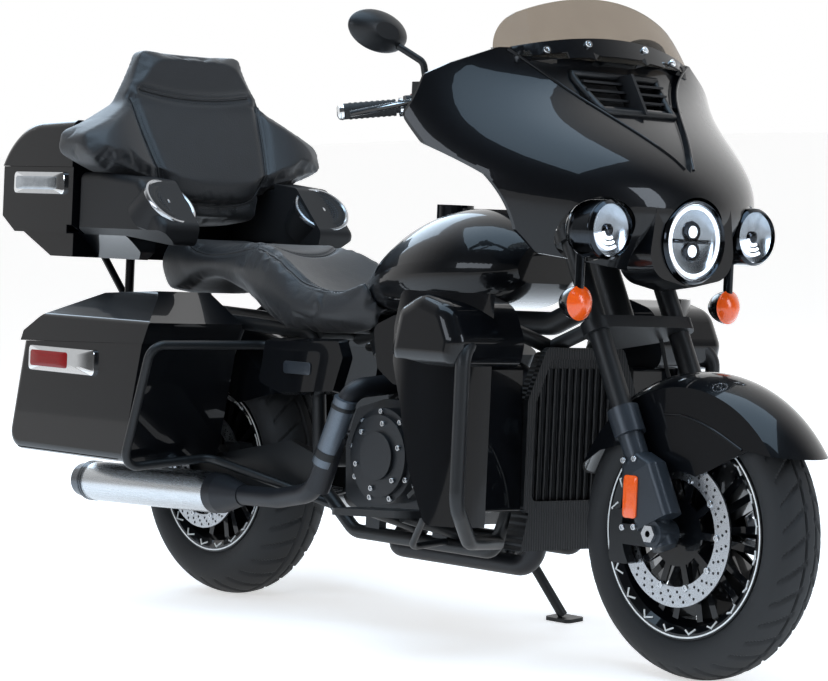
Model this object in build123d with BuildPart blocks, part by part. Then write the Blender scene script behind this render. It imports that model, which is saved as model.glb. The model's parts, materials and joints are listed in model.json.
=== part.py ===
"""Full-dress touring motorcycle, parked on its side stand.

Every piece is drawn with the machine upright: X forward from the rear axle,
Y to the rider's left, Z up from the road. The last step leans the whole set
onto the stand and moves it over the origin. Millimetres and degrees.
"""
import os
from math import atan2, cos, degrees, radians, sin, sqrt, tan

from build123d import *

# Stance
wheelbase = 1650
lean = 5.0
rake = 27.0
fork_offset = 45.0
clear = 0.3

# Wheels
tyre_r = 320.0
front_tyre_w = 135.0
rear_tyre_w = 176.0
front_lip_r = 231.0
rear_lip_r = 212.0
front_rim_half = 58.0
rear_rim_half = 75.0
lip_h = 16.0
lip_t = 4.0
spoke_pairs = 10
spoke_spread = 7.0
spoke_w = 17.0
axle_r = 11.0
axle_bore_r = 7.0
axle_clear = 0.05

# Brakes
rotor_r = 160.0
rotor_in_r = 116.0
rotor_t = 5.0
front_rotor_y = 76.0
rear_rotor_y = 101.0
caliper_gap = 5.0
carrier_reach = 126.0

# Fork and steering
fork_half = 124.0
tube_r = 24.0
slider_r = 30.0
slider_top = 290.0
cover_ahead = 10.0
cover_w = 108.0
yoke_low = 470.0
yoke_high = 690.0
yoke_t = 28.0
stem_r = 15.0
head_r = 34.0

# Fenders
fender_wall = 4.0
front_fender_r = 362.0
front_fender_half = 88.0
rear_fender_r = 374.0
rear_fender_half = 108.0

# Fairing
fairing_wall = 5.0
fairing_rows = (
    (870.0, 1530.0, 1345.0, 330.0),
    (960.0, 1588.0, 1275.0, 405.0),
    (1060.0, 1592.0, 1205.0, 455.0),
    (1200.0, 1455.0, 1160.0, 484.0),
    (1362.0, 1335.0, 1130.0, 470.0),
)
fairing_half_outline = (
    (0.0, 858.0),
    (200.0, 890.0),
    (305.0, 908.0),
    (350.0, 956.0),
    (404.0, 1072.0),
    (462.0, 1135.0),
    (482.0, 1198.0),
    (446.0, 1286.0),
    (398.0, 1313.0),
    (300.0, 1354.0),
    (0.0, 1366.0),
)
valley_half_outline = ((0.0, 1096.0), (36.0, 1140.0), (135.0, 1239.0), (215.0, 1311.0), (310.0, 1380.0))
valley_deep = 14.0
valley_rim = 14.0
hood_out = 62.0
vent_z = 1270.0
vent_half = 150.0
vent_h = 66.0
screen_t = 4.0
screen_top = 1482.0

# Lamps
headlight_at = (1575.0, 947.0)
headlight_r = 94.0
spot_at = (1545.0, 226.0, 964.0)
spot_r = 64.0
signal_at = (1478.0, 233.0, 804.0)
signal_r = 38.0

# Handlebar
bar_r = 13.0
grip_r = 18.0
grip_in = (985.0, 335.0, 1222.0)
grip_out = (909.0, 452.0, 1204.0)
mirror_at = (985.0, 415.0, 1386.0)

# Tank, seat and backrest
tank_rows = (
    (1132.0, 92.0, 838.0, 930.0),
    (1050.0, 150.0, 792.0, 985.0),
    (880.0, 178.0, 768.0, 1000.0),
    (740.0, 158.0, 760.0, 955.0),
    (600.0, 92.0, 772.0, 862.0),
)
seat_rows = (
    (-205.0, 122.0, 812.0, 862.0, 874.0),
    (-40.0, 156.0, 800.0, 884.0, 894.0),
    (190.0, 166.0, 770.0, 904.0, 892.0),
    (335.0, 184.0, 706.0, 884.0, 838.0),
    (480.0, 190.0, 697.0, 812.0, 770.0),
    (610.0, 164.0, 700.0, 808.0, 792.0),
    (738.0, 88.0, 742.0, 846.0, 852.0),
)
back_face_x = -310.0
pod_in = 196.0
pod_out = 312.0
speaker_r = 76.0

# Luggage
case_rear = -640.0
case_front = back_face_x - 8.0
case_half = 322.0
case_floor = 905.0
case_split = 1076.0
case_wall = 5.0
tray_floor = 845.0
bag_in = 172.0
bag_out = 462.0
bag_wall = 5.0
bag_split_rear = 628.0
bag_split_front = 646.0
lid_gap = 0.6
lid_in = bag_in + 8
lid_crest = 330.0
lid_clear = 8.0

# Engine and exhaust
crank_at = (815.0, 420.0)
vee = 27.0
fin_count = 9
pipe_r = 24.0
muffler_r = 51.0
muffler_y = 228.0
cone_end = 78.0
tip_len = 62.0
guard_r = 17.0

# Leg shields
leg_low = 300.0
leg_high = 814.0
pod_low = 652.0

# Shared helpers
def side_plane(x=0.0, z=0.0, y=0.0):
    return Plane(origin=(x, y, z), x_dir=(1, 0, 0), z_dir=(0, -1, 0))


def front_plane(x=0.0, y=0.0, z=0.0):
    return Plane(origin=(x, y, z), x_dir=(0, 1, 0), z_dir=(1, 0, 0))


def flat_plane(z=0.0):
    return Plane(origin=(0, 0, z), x_dir=(1, 0, 0), z_dir=(0, 0, 1))


def cross_axis(x, z):
    return Axis((x, 0, z), (0, 1, 0))


def tube(points, bend, radius):
    with BuildPart() as piece:
        with BuildLine() as path:
            FilletPolyline(*points, radius=bend)
        with BuildSketch(Plane(origin=path.line @ 0, z_dir=path.line % 0)):
            Circle(radius)
        sweep(path=path.line)
    return piece.part


def rod(start, end, radius):
    with BuildPart() as piece:
        run = Vector(*end) - Vector(*start)
        with BuildSketch(Plane(origin=start, z_dir=run)):
            Circle(radius)
        extrude(amount=run.length)
    return piece.part


def slab(points, y_from, y_to, round_r=0.0):
    """Side outline (x, z) drawn across the machine from one y to another."""
    with BuildPart() as piece:
        with BuildSketch(side_plane(y=y_to)) as outline:
            with BuildLine():
                Polyline(*points, close=True)
            make_face()
            if round_r:
                fillet(outline.vertices(), round_r)
        extrude(amount=y_to - y_from)
    return piece.part


def flip(part):
    return mirror(part, about=Plane.XZ)


def both_sides(part):
    return part + flip(part)


def main_solids(part, least=5000):
    """Drop the offcuts that a cut leaves behind."""
    return Part(children=[]) + [s for s in part.solids() if s.volume > least]


pieces = {}


def keep(name, part):
    part.label = name
    pieces[name] = part


rear_at = (0.0, tyre_r)
front_at = (float(wheelbase), tyre_r)
fork_up = Vector(-sin(radians(rake)), 0, cos(radians(rake)))
fork_ahead = Vector(cos(radians(rake)), 0, sin(radians(rake)))
fork_plane = Plane(origin=(wheelbase, 0, tyre_r), x_dir=fork_ahead, z_dir=fork_up)


def on_fork(ahead, left, along):
    spot = Vector(wheelbase, 0, tyre_r) + fork_ahead * ahead + fork_up * along
    return (spot.X, left, spot.Z)


# Wheels and tyres
def cast_rim(at, lip_r, half, hub_half):
    cx, cz = at
    seat_r = lip_r - lip_h
    well_r = seat_r - 16
    blade = well_r - 30
    mid_r = 34 + blade / 2 + 6
    with BuildPart() as rim:
        with BuildSketch(front_plane(cx, 0, cz)):
            with BuildLine():
                Polyline(
                    (-half, lip_r),
                    (-half + lip_t, lip_r),
                    (-half + lip_t, seat_r),
                    (-half + 26, seat_r),
                    (-half + 36, well_r),
                    (half - 36, well_r),
                    (half - 26, seat_r),
                    (half - lip_t, seat_r),
                    (half - lip_t, lip_r),
                    (half, lip_r),
                    (half, lip_r - 12),
                    (half - 12, seat_r - 12),
                    (half - 40, well_r - 10),
                    (-half + 40, well_r - 10),
                    (-half + 12, seat_r - 12),
                    (-half, lip_r - 12),
                    close=True,
                )
            make_face()
        revolve(axis=cross_axis(cx, cz))
        with BuildSketch(side_plane(cx, cz)):
            with PolarLocations(mid_r, spoke_pairs, start_angle=spoke_spread):
                Rectangle(blade, spoke_w)
            with PolarLocations(mid_r, spoke_pairs, start_angle=-spoke_spread):
                Rectangle(blade, spoke_w)
            Circle(62)
        extrude(amount=half - 30, both=True)
        with BuildSketch(side_plane(cx, cz)):
            Circle(46)
        extrude(amount=hub_half, both=True)
        with BuildSketch(side_plane(cx, cz)):
            Circle(axle_r + axle_clear)
        extrude(amount=hub_half + 1, both=True, mode=Mode.SUBTRACT)
    return rim.part


def carrier(at, y_from, y_to):
    """Flange with arms that holds a rotor on the hub."""
    with BuildPart() as arm_plate:
        with BuildSketch(side_plane(at[0], at[1], max(y_from, y_to))):
            Circle(72)
            with PolarLocations(carrier_reach - 30, 10):
                Rectangle(60, 16)
            Circle(axle_r + 14, mode=Mode.SUBTRACT)
        extrude(amount=abs(y_to - y_from))
    return arm_plate.part


def ring(at, y_mid, thick, r_out, r_in):
    with BuildPart() as disc:
        with BuildSketch(side_plane(at[0], at[1], y_mid)):
            Circle(r_out)
            Circle(r_in, mode=Mode.SUBTRACT)
        extrude(amount=thick / 2, both=True)
    return disc.part


def tyre(at, width, lip_r, half):
    cx, cz = at
    seat_r = lip_r - lip_h
    bead = half - lip_t
    wide = width / 2
    mid_r = lip_r + 0.42 * (tyre_r - lip_r)
    edge = wide - 9
    edge_r = tyre_r - 0.36 * width * 0.62
    wall = 11
    with BuildPart() as carcass:
        with BuildSketch(front_plane(cx, 0, cz)):
            with BuildLine():
                Line((-bead, seat_r), (-bead, lip_r + 1))
                ThreePointArc((-bead, lip_r + 1), (-wide, mid_r), (-edge, edge_r))
                ThreePointArc((-edge, edge_r), (0, tyre_r), (edge, edge_r))
                ThreePointArc((edge, edge_r), (wide, mid_r), (bead, lip_r + 1))
                Line((bead, lip_r + 1), (bead, seat_r))
                Line((bead, seat_r), (bead - wall, seat_r))
                Line((bead - wall, seat_r), (bead - wall, lip_r + 4))
                ThreePointArc((bead - wall, lip_r + 4), (wide - wall, mid_r), (edge - wall, edge_r - wall))
                ThreePointArc((edge - wall, edge_r - wall), (0, tyre_r - wall), (wall - edge, edge_r - wall))
                ThreePointArc((wall - edge, edge_r - wall), (wall - wide, mid_r), (wall - bead, lip_r + 4))
                Line((wall - bead, lip_r + 4), (wall - bead, seat_r))
                Line((wall - bead, seat_r), (-bead, seat_r))
            make_face()
        revolve(axis=cross_axis(cx, cz))
    return carcass.part


rotor_face = front_rotor_y - rotor_t / 2
front_rim = cast_rim(front_at, front_lip_r, front_rim_half, rotor_face - 4)
front_rim += carrier(front_at, rotor_face - 5, rotor_face)
front_rim += carrier(front_at, -rotor_face, 5 - rotor_face)
keep("front_rim", front_rim)
keep("front_tyre", tyre(front_at, front_tyre_w, front_lip_r, front_rim_half))
keep("front_rotors", both_sides(ring(front_at, front_rotor_y, rotor_t, rotor_r, rotor_in_r)))

belt_y = 105.0
pulley_r = 112.0
belt_w = 20.0
rear_rim = cast_rim(rear_at, rear_lip_r, rear_rim_half, rear_rotor_y - rotor_t / 2)
rear_rim += carrier(rear_at, -rear_rotor_y + rotor_t / 2, -rear_rotor_y + rotor_t / 2 + 5)
rear_rim += ring(rear_at, belt_y, belt_w, pulley_r, axle_r + 14)
keep("rear_rim", rear_rim)
keep("rear_rotor", ring(rear_at, -rear_rotor_y, rotor_t, 150, rotor_in_r))
keep("rear_tyre", tyre(rear_at, rear_tyre_w, rear_lip_r, rear_rim_half))

# Axles, hollow so a lifting pin goes in from either end
def axle(at, half):
    with BuildPart() as shaft:
        with BuildSketch(side_plane(at[0], at[1])):
            Circle(axle_r)
        extrude(amount=half, both=True)
        with BuildSketch(side_plane(at[0], at[1], half)):
            RegularPolygon(radius=20, side_count=6)
        extrude(amount=-10)
        with BuildSketch(side_plane(at[0], at[1], -half)):
            RegularPolygon(radius=20, side_count=6)
        extrude(amount=10)
        with BuildSketch(side_plane(at[0], at[1])):
            Circle(axle_bore_r)
        extrude(amount=half + 20, both=True, mode=Mode.SUBTRACT)
    return shaft.part


front_axle_half = fork_half + 30
rear_axle_half = 150.0
keep("front_axle", axle(front_at, front_axle_half))
keep("rear_axle", axle(rear_at, rear_axle_half))

# Fork legs with their lower covers
with BuildPart() as slider:
    with BuildSketch(fork_plane.offset(-34)):
        with Locations((0, fork_half)):
            Circle(slider_r - 3)
    extrude(amount=slider_top + 34)
    with BuildSketch(fork_plane.offset(slider_top - 62)):
        with Locations((0, fork_half)):
            Circle(slider_r + 5)
    extrude(amount=62)
    with BuildSketch(fork_plane.offset(22)) as cover_low:
        with Locations((cover_ahead, fork_half + 4)):
            RectangleRounded(cover_w, 54, 18)
    extrude(amount=118)
    with BuildSketch(fork_plane.offset(140)):
        with Locations((cover_ahead, fork_half + 4)):
            RectangleRounded(cover_w, 54, 18)
    with BuildSketch(fork_plane.offset(176)):
        with Locations((0, fork_half)):
            RectangleRounded(2 * slider_r, 2 * slider_r - 6, 18)
    loft()
    with BuildSketch(side_plane(front_at[0], front_at[1], fork_half)):
        Circle(29)
    extrude(amount=29, both=True)
    with BuildSketch(side_plane(front_at[0], front_at[1], fork_half)):
        Circle(axle_r + axle_clear)
    extrude(amount=60, both=True, mode=Mode.SUBTRACT)
keep("fork_sliders", both_sides(slider.part))

with BuildPart() as yokes:
    for along in (yoke_low, yoke_high):
        with BuildSketch(fork_plane.offset(along)):
            with Locations((0, fork_half), (0, -fork_half)):
                Circle(tube_r + 12)
            with Locations((-fork_offset, 0)):
                Circle(head_r + 6)
            make_hull()
        extrude(amount=yoke_t)
    with BuildSketch(fork_plane.offset(slider_top)):
        with Locations((0, fork_half), (0, -fork_half)):
            Circle(tube_r)
    extrude(amount=yoke_high + yoke_t + 12 - slider_top)
    with BuildSketch(fork_plane.offset(yoke_low)):
        with Locations((-fork_offset, 0)):
            Circle(stem_r)
    extrude(amount=yoke_high - yoke_low)
keep("fork_yokes", yokes.part)

# Front fender, a turned channel with a deep skirt between the fork legs
fender_at = (wheelbase + 14.0, tyre_r - 14.0)


def channel(at, outer_r, half, wall, skirt, crown):
    with BuildSketch(front_plane(at[0], 0, at[1])) as outline:
        with BuildLine():
            Line((-half, outer_r - skirt), (-half, outer_r - crown))
            ThreePointArc((-half, outer_r - crown), (0, outer_r), (half, outer_r - crown))
            Line((half, outer_r - crown), (half, outer_r - skirt))
            Line((half, outer_r - skirt), (half - wall, outer_r - skirt))
            Line((half - wall, outer_r - skirt), (half - wall, outer_r - crown - 1))
            ThreePointArc(
                (half - wall, outer_r - crown - 1), (0, outer_r - wall), (wall - half, outer_r - crown - 1)
            )
            Line((wall - half, outer_r - crown - 1), (wall - half, outer_r - skirt))
            Line((wall - half, outer_r - skirt), (-half, outer_r - skirt))
        make_face()
    return outline.sketch


with BuildPart() as front_fender:
    add(channel(fender_at, front_fender_r, front_fender_half, fender_wall, 215, 34))
    revolve(axis=cross_axis(*fender_at))
    with BuildSketch(side_plane()):
        with BuildLine():
            Polyline(
                (wheelbase + 420, tyre_r + 172),
                (wheelbase + 205, tyre_r + 192),
                (wheelbase + 90, tyre_r + 138),
                (wheelbase + 20, tyre_r + 112),
                (wheelbase - 75, tyre_r + 120),
                (wheelbase - 120, tyre_r + 190),
                (wheelbase - 235, tyre_r + 160),
                (wheelbase - 420, tyre_r + 40),
                (wheelbase - 420, -200),
                (wheelbase + 420, -200),
                close=True,
            )
        make_face()
    extrude(amount=200, both=True, mode=Mode.SUBTRACT)
fender_lug = rod((1533, 86, 552), (1533, 106, 552), 14) + rod((1572, 86, 474), (1572, 106, 474), 12)
keep("front_fender", front_fender.part + both_sides(fender_lug) - pieces["fork_sliders"])

# Front calipers behind the fork legs
caliper_turn = 188.0
caliper_at = (
    wheelbase + 138 * cos(radians(caliper_turn)),
    tyre_r + 138 * sin(radians(caliper_turn)),
)
with BuildPart() as caliper:
    with BuildSketch(side_plane(caliper_at[0], caliper_at[1], front_rotor_y + 34)):
        RectangleRounded(62, 118, 14)
    extrude(amount=52)
    with BuildSketch(side_plane(front_at[0], front_at[1], front_rotor_y)):
        Circle(rotor_r + caliper_gap)
    extrude(amount=rotor_t / 2 + caliper_gap, both=True, mode=Mode.SUBTRACT)
    with BuildSketch(side_plane(front_at[0], front_at[1], front_rotor_y)):
        Circle(carrier_reach + caliper_gap + 1)
    extrude(amount=60, both=True, mode=Mode.SUBTRACT)
    with BuildSketch(side_plane(caliper_at[0] + 47, caliper_at[1] + 6, front_rotor_y + 34)):
        Rectangle(116, 44)
    extrude(amount=16)
front_calipers = both_sides(caliper.part - pieces["fork_sliders"])
keep("front_calipers", front_calipers)

# Brake hoses from the lower yoke down to the calipers
hose_r = 4.5
hose_run = (
    on_fork(-30, 96, yoke_low),
    on_fork(-40, 96, yoke_low - 70),
    (caliper_at[0] - 6, 104, caliper_at[1] + 190),
    (caliper_at[0], 98, caliper_at[1] + 59),
)
hose = tube(hose_run, 60, hose_r)
keep("brake_hoses", both_sides(hose) - pieces["fork_yokes"] - pieces["front_calipers"])

# Handlebar fairing, a lofted shell cut to its front outline
def fairing_skin(front, back):
    """Shell between two depths behind the outer surface."""
    with BuildPart() as skin:
        for row_z, nose_x, side_x, half in fairing_rows:
            with BuildSketch(flat_plane(row_z)):
                with BuildLine():
                    ThreePointArc((side_x, front - half), (nose_x - front, 0), (side_x, half - front))
                    Line((side_x, half - front), (side_x, half - back))
                    ThreePointArc((side_x, half - back), (nose_x - back, 0), (side_x, back - half))
                    Line((side_x, back - half), (side_x, front - half))
                make_face()
        loft()
    return skin.part


def front_stencil(half_outline, grow, round_r):
    """Mirrored front outline as a long block along X, grown sideways and down by grow."""
    points = [(y + grow if y else 0.0, z - grow) for y, z in half_outline]
    flipped = [(-y, z) for y, z in reversed(points) if y]
    with BuildPart() as block:
        with BuildSketch(front_plane(900)):
            with BuildLine():
                if round_r:
                    FilletPolyline(*points, *flipped, radius=round_r, close=True)
                else:
                    Polyline(*points, *flipped, close=True)
            make_face()
        extrude(amount=900)
    return block.part


fairing = fairing_skin(0, fairing_wall) & front_stencil(fairing_half_outline, 0, 18)
valley_back = fairing_skin(fairing_wall - 3, valley_deep + fairing_wall)
fairing += valley_back & front_stencil(valley_half_outline, valley_rim, 0) & front_stencil(fairing_half_outline, 0, 18)
fairing = fairing - (fairing_skin(-9, valley_deep) & front_stencil(valley_half_outline, 0, 0))
with BuildPart() as hood:
    with BuildSketch(front_plane(headlight_at[0] + 12)):
        with BuildLine():
            FilletPolyline(
                (0, 846), (hood_out + 74, 872), (hood_out + 48, 1056), (-hood_out - 48, 1056),
                (-hood_out - 74, 872), radius=(60, 60, 60, 60, 60), close=True,
            )
        make_face()
    extrude(amount=-90, taper=-8)
with BuildPart() as front_cuts:
    with BuildSketch(front_plane(1350, 0, headlight_at[1])):
        Circle(headlight_r + 2)
    extrude(amount=300)
    with BuildSketch(front_plane(1250, 0, vent_z)):
        Trapezoid(2 * vent_half, vent_h, 60)
    extrude(amount=400)
    with BuildSketch(front_plane(1250, 0, headlight_at[1] + 17)):
        with Locations((spot_at[1], 0), (-spot_at[1], 0)):
            Circle(spot_r + 6)
    extrude(amount=400)
keep("fairing_outer", main_solids(fairing + hood.part - front_cuts.part, 100000))

# Vent vanes, headlight nacelle ring and inner dash panel
with BuildPart() as dash:
    with BuildSketch(flat_plane(1075)) as dash_plan:
        with BuildLine():
            ThreePointArc((1190, -490), (1290, 0), (1190, 490))
            Line((1190, 490), (1178, 490))
            ThreePointArc((1178, 490), (1276, 0), (1178, -490))
            Line((1178, -490), (1190, -490))
        make_face()
    extrude(amount=262)
    with BuildSketch(front_plane(900)):
        with BuildLine():
            FilletPolyline(
                (-330, 1085), (-200, 1075), (200, 1075), (330, 1085), (436, 1152), (480, 1195),
                (450, 1250), (392, 1296), (292, 1334), (-292, 1334), (-392, 1296), (-450, 1250),
                (-480, 1195), (-436, 1152), radius=8, close=True,
            )
        make_face()
    extrude(amount=900, mode=Mode.INTERSECT)
    gauge_x = 1290
    with BuildSketch(front_plane(gauge_x, 0, 1215)):
        with Locations((-75, 0), (75, 0)):
            Circle(62)
        with Locations((-205, 10), (205, 10)):
            Circle(40)
    extrude(amount=-52)
keep("fairing_inner", main_solids(dash.part - pieces["fairing_outer"], 100000))

with BuildPart() as vanes:
    for rise, back in ((-17, 1376), (2, 1364), (21, 1352)):
        with BuildSketch(front_plane(back, 0, vent_z + rise)):
            Rectangle(2 * vent_half - 50, 5)
        extrude(amount=-54)
web = slab(((1318, 1306), (1376, 1314), (1430, 1224), (1376, 1220)), -4, 4)
keep("vent_vanes", main_solids(vanes.part + web - pieces["fairing_outer"], 100000))

# Windscreen
with BuildPart() as screen:
    for row_z, nose_x, side_x, half in ((1330.0, 1352.0, 1150.0, 425.0), (1490.0, 1258.0, 1075.0, 400.0)):
        with BuildSketch(flat_plane(row_z)):
            with BuildLine():
                ThreePointArc((side_x, -half), (nose_x, 0), (side_x, half))
                Line((side_x, half), (side_x, half - screen_t))
                ThreePointArc(
                    (side_x, half - screen_t), (nose_x - screen_t, 0), (side_x, screen_t - half)
                )
                Line((side_x, screen_t - half), (side_x, -half))
            make_face()
    loft()
    with BuildSketch(front_plane(900)):
        with BuildLine():
            Line((-305, 1338), (305, 1338))
            ThreePointArc((305, 1338), (283, 1392), (226, 1438))
            ThreePointArc((226, 1438), (0, screen_top), (-226, 1438))
            ThreePointArc((-226, 1438), (-283, 1392), (-305, 1338))
        make_face()
    extrude(amount=900, mode=Mode.INTERSECT)
keep("windscreen", main_solids(screen.part - pieces["fairing_outer"], 100000))

# Headlight and spot lamps with their glass
def cap_mid(radius, bulge):
    """A point half way along a round cap that rises by bulge at its middle."""
    ball = (radius * radius + bulge * bulge) / (2 * bulge)
    half = atan2(radius, ball - bulge) / 2
    return ball * sin(half), ball * cos(half) - ball + bulge


def lamp_shell(at, r_out, r_lens, depth):
    x, y, z = at
    with BuildPart() as shell:
        with BuildSketch(Plane(origin=(x, y, z), x_dir=(0, 0, 1), z_dir=(0, 1, 0))):
            with BuildLine():
                Polyline((0, 4), (r_lens - 8, 4), (r_lens, 10), (r_out - 6, 22), (r_out, 14), (r_out, 0))
                Line((r_out, 0), (r_out, -depth * 0.4))
                ThreePointArc((r_out, -depth * 0.4), (r_out * 0.75, -depth * 0.82), (r_out * 0.3, -depth))
                Line((r_out * 0.3, -depth), (0, -depth))
                Line((0, -depth), (0, 4))
            make_face()
        revolve(axis=Axis((x, y, z), (1, 0, 0)))
    return shell.part


def lamp_glass(at, r_lens, bulge):
    x, y, z = at
    with BuildPart() as glass:
        with BuildSketch(Plane(origin=(x, y, z), x_dir=(0, 0, 1), z_dir=(0, 1, 0))):
            with BuildLine():
                Line((0, 4), (r_lens - 9, 4))
                Line((r_lens - 9, 4), (r_lens - 1, 11))
                mid = cap_mid(r_lens - 1, bulge)
                ThreePointArc((r_lens - 1, 11), (mid[0], 11 + mid[1]), (0, 11 + bulge))
                Line((0, 11 + bulge), (0, 4))
            make_face()
        revolve(axis=Axis((x, y, z), (1, 0, 0)))
    return glass.part


head_xyz = (headlight_at[0], 0.0, headlight_at[1])
right_spot = (spot_at[0], -spot_at[1], spot_at[2])
lamps = lamp_shell(head_xyz, headlight_r, headlight_r - 12, 120)
lamps += both_sides(lamp_shell(right_spot, spot_r, spot_r - 7, 92))
lamps += rod((1485, -spot_at[1], spot_at[2] - 14), (1485, spot_at[1], spot_at[2] - 14), 12)
lamps += both_sides(rod((1478, -233, spot_at[2] - 20), (1478, -233, 830), 11))
glass = lamp_glass(head_xyz, headlight_r - 12, 16)
glass += both_sides(lamp_glass(right_spot, spot_r - 7, 10))
keep("lamp_glass", glass)

right_signal = (signal_at[0], -signal_at[1], signal_at[2])
with BuildPart() as signal:
    with BuildSketch(Plane(origin=right_signal, x_dir=(0, 0, 1), z_dir=(0, 1, 0))):
        with BuildLine():
            Line((0, 24), (0, -46))
            Line((0, -46), (14, -46))
            ThreePointArc((14, -46), (signal_r * 0.85, -22), (signal_r, 4))
            Line((signal_r, 4), (signal_r - 3, 6))
            mid = cap_mid(signal_r - 3, 18)
            ThreePointArc((signal_r - 3, 6), (mid[0], 6 + mid[1]), (0, 24))
        make_face()
    revolve(axis=Axis(right_signal, (1, 0, 0)))
keep("front_signals", both_sides(signal.part))
brace_from = on_fork(16, 104, yoke_high + 14)
lamps += both_sides(rod(brace_from, (1580, 104, 968), 10)) - pieces["fork_yokes"]
lamps = lamps - pieces["front_signals"] - pieces["fairing_outer"]
keep("front_lamps", main_solids(lamps, 100000))

# Handlebar with its clamps and hand controls
clamp = on_fork(-fork_offset + 20, 62, yoke_high + yoke_t)
right_in = (grip_in[0], -grip_in[1], grip_in[2])
right_out = (grip_out[0], -grip_out[1], grip_out[2])
bar_top = (1240.0, 1030.0)
bar_run = (
    right_out,
    right_in,
    (1105, -265, 1205),
    (bar_top[0], -150, bar_top[1]),
    (bar_top[0], 150, bar_top[1]),
    (1105, 265, 1205),
    (grip_in[0], grip_in[1], grip_in[2]),
    (grip_out[0], grip_out[1], grip_out[2]),
)
bar = tube(bar_run, 36, bar_r)
with BuildPart() as riser:
    with BuildSketch(fork_plane.offset(yoke_high + yoke_t)):
        with Locations((-fork_offset, 62)):
            RectangleRounded(52, 40, 8)
    extrude(amount=104)
bar += both_sides(riser.part)
bar_end_r = 4.0
bar_end_deep = 22.0
bar_dir = (Vector(*grip_out) - Vector(*grip_in)).normalized()
hole_from = Vector(*grip_out) - bar_dir * bar_end_deep
hole = rod(tuple(hole_from), tuple(Vector(*grip_out) + bar_dir * 30), bar_end_r)
bar = bar - hole - flip(hole)
lever_from = Vector(*grip_in) + bar_dir * -34
with BuildPart() as control:
    with BuildSketch(Plane(origin=tuple(lever_from), z_dir=bar_dir)):
        RectangleRounded(56, 50, 12)
    extrude(amount=26)
    with BuildSketch(Plane(origin=tuple(lever_from + Vector(46, 10, 18)), z_dir=(0, 0, 1))):
        RectangleRounded(64, 46, 8)
    extrude(amount=34)
lever = tube(
    (
        tuple(lever_from + Vector(50, 10, 14)),
        tuple(lever_from + Vector(46, 60, 4)),
        tuple(Vector(*grip_out) + Vector(62, 20, -6)),
    ),
    18,
    7,
)
controls = control.part + lever - pieces["fairing_inner"]
bar += both_sides(controls)
keep("handlebar", bar)

with BuildPart() as grip:
    with BuildSketch(Plane(origin=tuple(Vector(*grip_in) + bar_dir * 16), z_dir=bar_dir)):
        Circle(grip_r)
        Circle(bar_r + 0.1, mode=Mode.SUBTRACT)
    extrude(amount=(Vector(*grip_out) - Vector(*grip_in)).length - 16)
keep("grips", both_sides(grip.part))

# Mirrors
with BuildPart() as mirror_head:
    for step, wide, tall in ((-14, 74, 38), (0, 84, 46), (18, 70, 38), (34, 34, 18)):
        with BuildSketch(front_plane(mirror_at[0] + step, mirror_at[1], mirror_at[2])):
            Ellipse(wide, tall, rotation=10)
    loft()
stalk = tube(
    (
        tuple(lever_from + Vector(46, 12, 40)),
        tuple(lever_from + Vector(40, 20, 96)),
        (mirror_at[0] + 6, mirror_at[1] - 34, mirror_at[2] - 20),
    ),
    24,
    8,
)
keep("mirrors", both_sides(mirror_head.part + stalk - pieces["handlebar"]))

# Frame: head tube, spine, cradle, seat rails
head_low = yoke_low + yoke_t + clear
head_high = yoke_high - clear
with BuildPart() as head:
    with BuildSketch(fork_plane.offset(head_low)):
        with Locations((-fork_offset, 0)):
            Circle(head_r)
            Circle(stem_r + 0.4, mode=Mode.SUBTRACT)
    extrude(amount=head_high - head_low)
neck = on_fork(-fork_offset - 20, 0, yoke_low + 120)
neck_low = on_fork(-fork_offset - 12, 0, yoke_low + 66)
stem_room = rod(
    on_fork(-fork_offset, 0, yoke_low - 40), on_fork(-fork_offset, 0, yoke_high + 80), stem_r + 0.4
)
cradle_y = 128.0
cradle_z = 226.0
frame = head.part
frame += tube((neck, (1160, 0, 748), (700, 0, 739), (470, 0, 690)), 60, 27) - stem_room
cradle = tube(
    (
        neck_low,
        (1215, 70, 690),
        (1165, cradle_y, 300),
        (1130, cradle_y, cradle_z),
        (640, cradle_y, cradle_z),
        (500, cradle_y, 330),
        (470, cradle_y, 690),
        (-345, cradle_y, 718),
    ),
    (60, 60, 40, 60, 60, 60),
    17,
)
frame += both_sides(cradle - stem_room)
frame += rod((470, -cradle_y, 690), (470, cradle_y, 690), 16)
frame += rod((-300, -cradle_y, 716), (-300, cradle_y, 716), 12)
bag_side = ((-372, 350), (-312, bag_split_rear), (206, bag_split_front), (140, 352))
for stay_x in (-180, 176):
    stay = rod((stay_x, cradle_y, 708), (stay_x, bag_in + 4, 596), 9)
    frame += both_sides(stay - slab(bag_side, bag_in, bag_out))
keep("frame", frame)

# Swingarm with shock absorbers
arm_in = 121.0
arm_t = 22.0
arm_side = slab(((-46, 348), (60, 360), (400, 424), (500, 396), (500, 306), (430, 296), (-46, 292)),
                arm_in, arm_in + arm_t, 12)
swingarm = both_sides(arm_side)
with BuildPart() as arm_bridge:
    with BuildSketch(side_plane(428, 386)):
        RectangleRounded(56, 50, 12)
    extrude(amount=arm_in + 2, both=True)
swingarm += arm_bridge.part
swingarm = swingarm - both_sides(rod((0, 80, tyre_r), (0, 200, tyre_r), axle_r + axle_clear))
shock = rod((60, 147, 350), (130, 147, 640), 17)
shock += rod((75, 147, 410), (118, 147, 590), 22)
swingarm += both_sides(shock)
keep("swingarm", swingarm - pieces["frame"])

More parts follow.
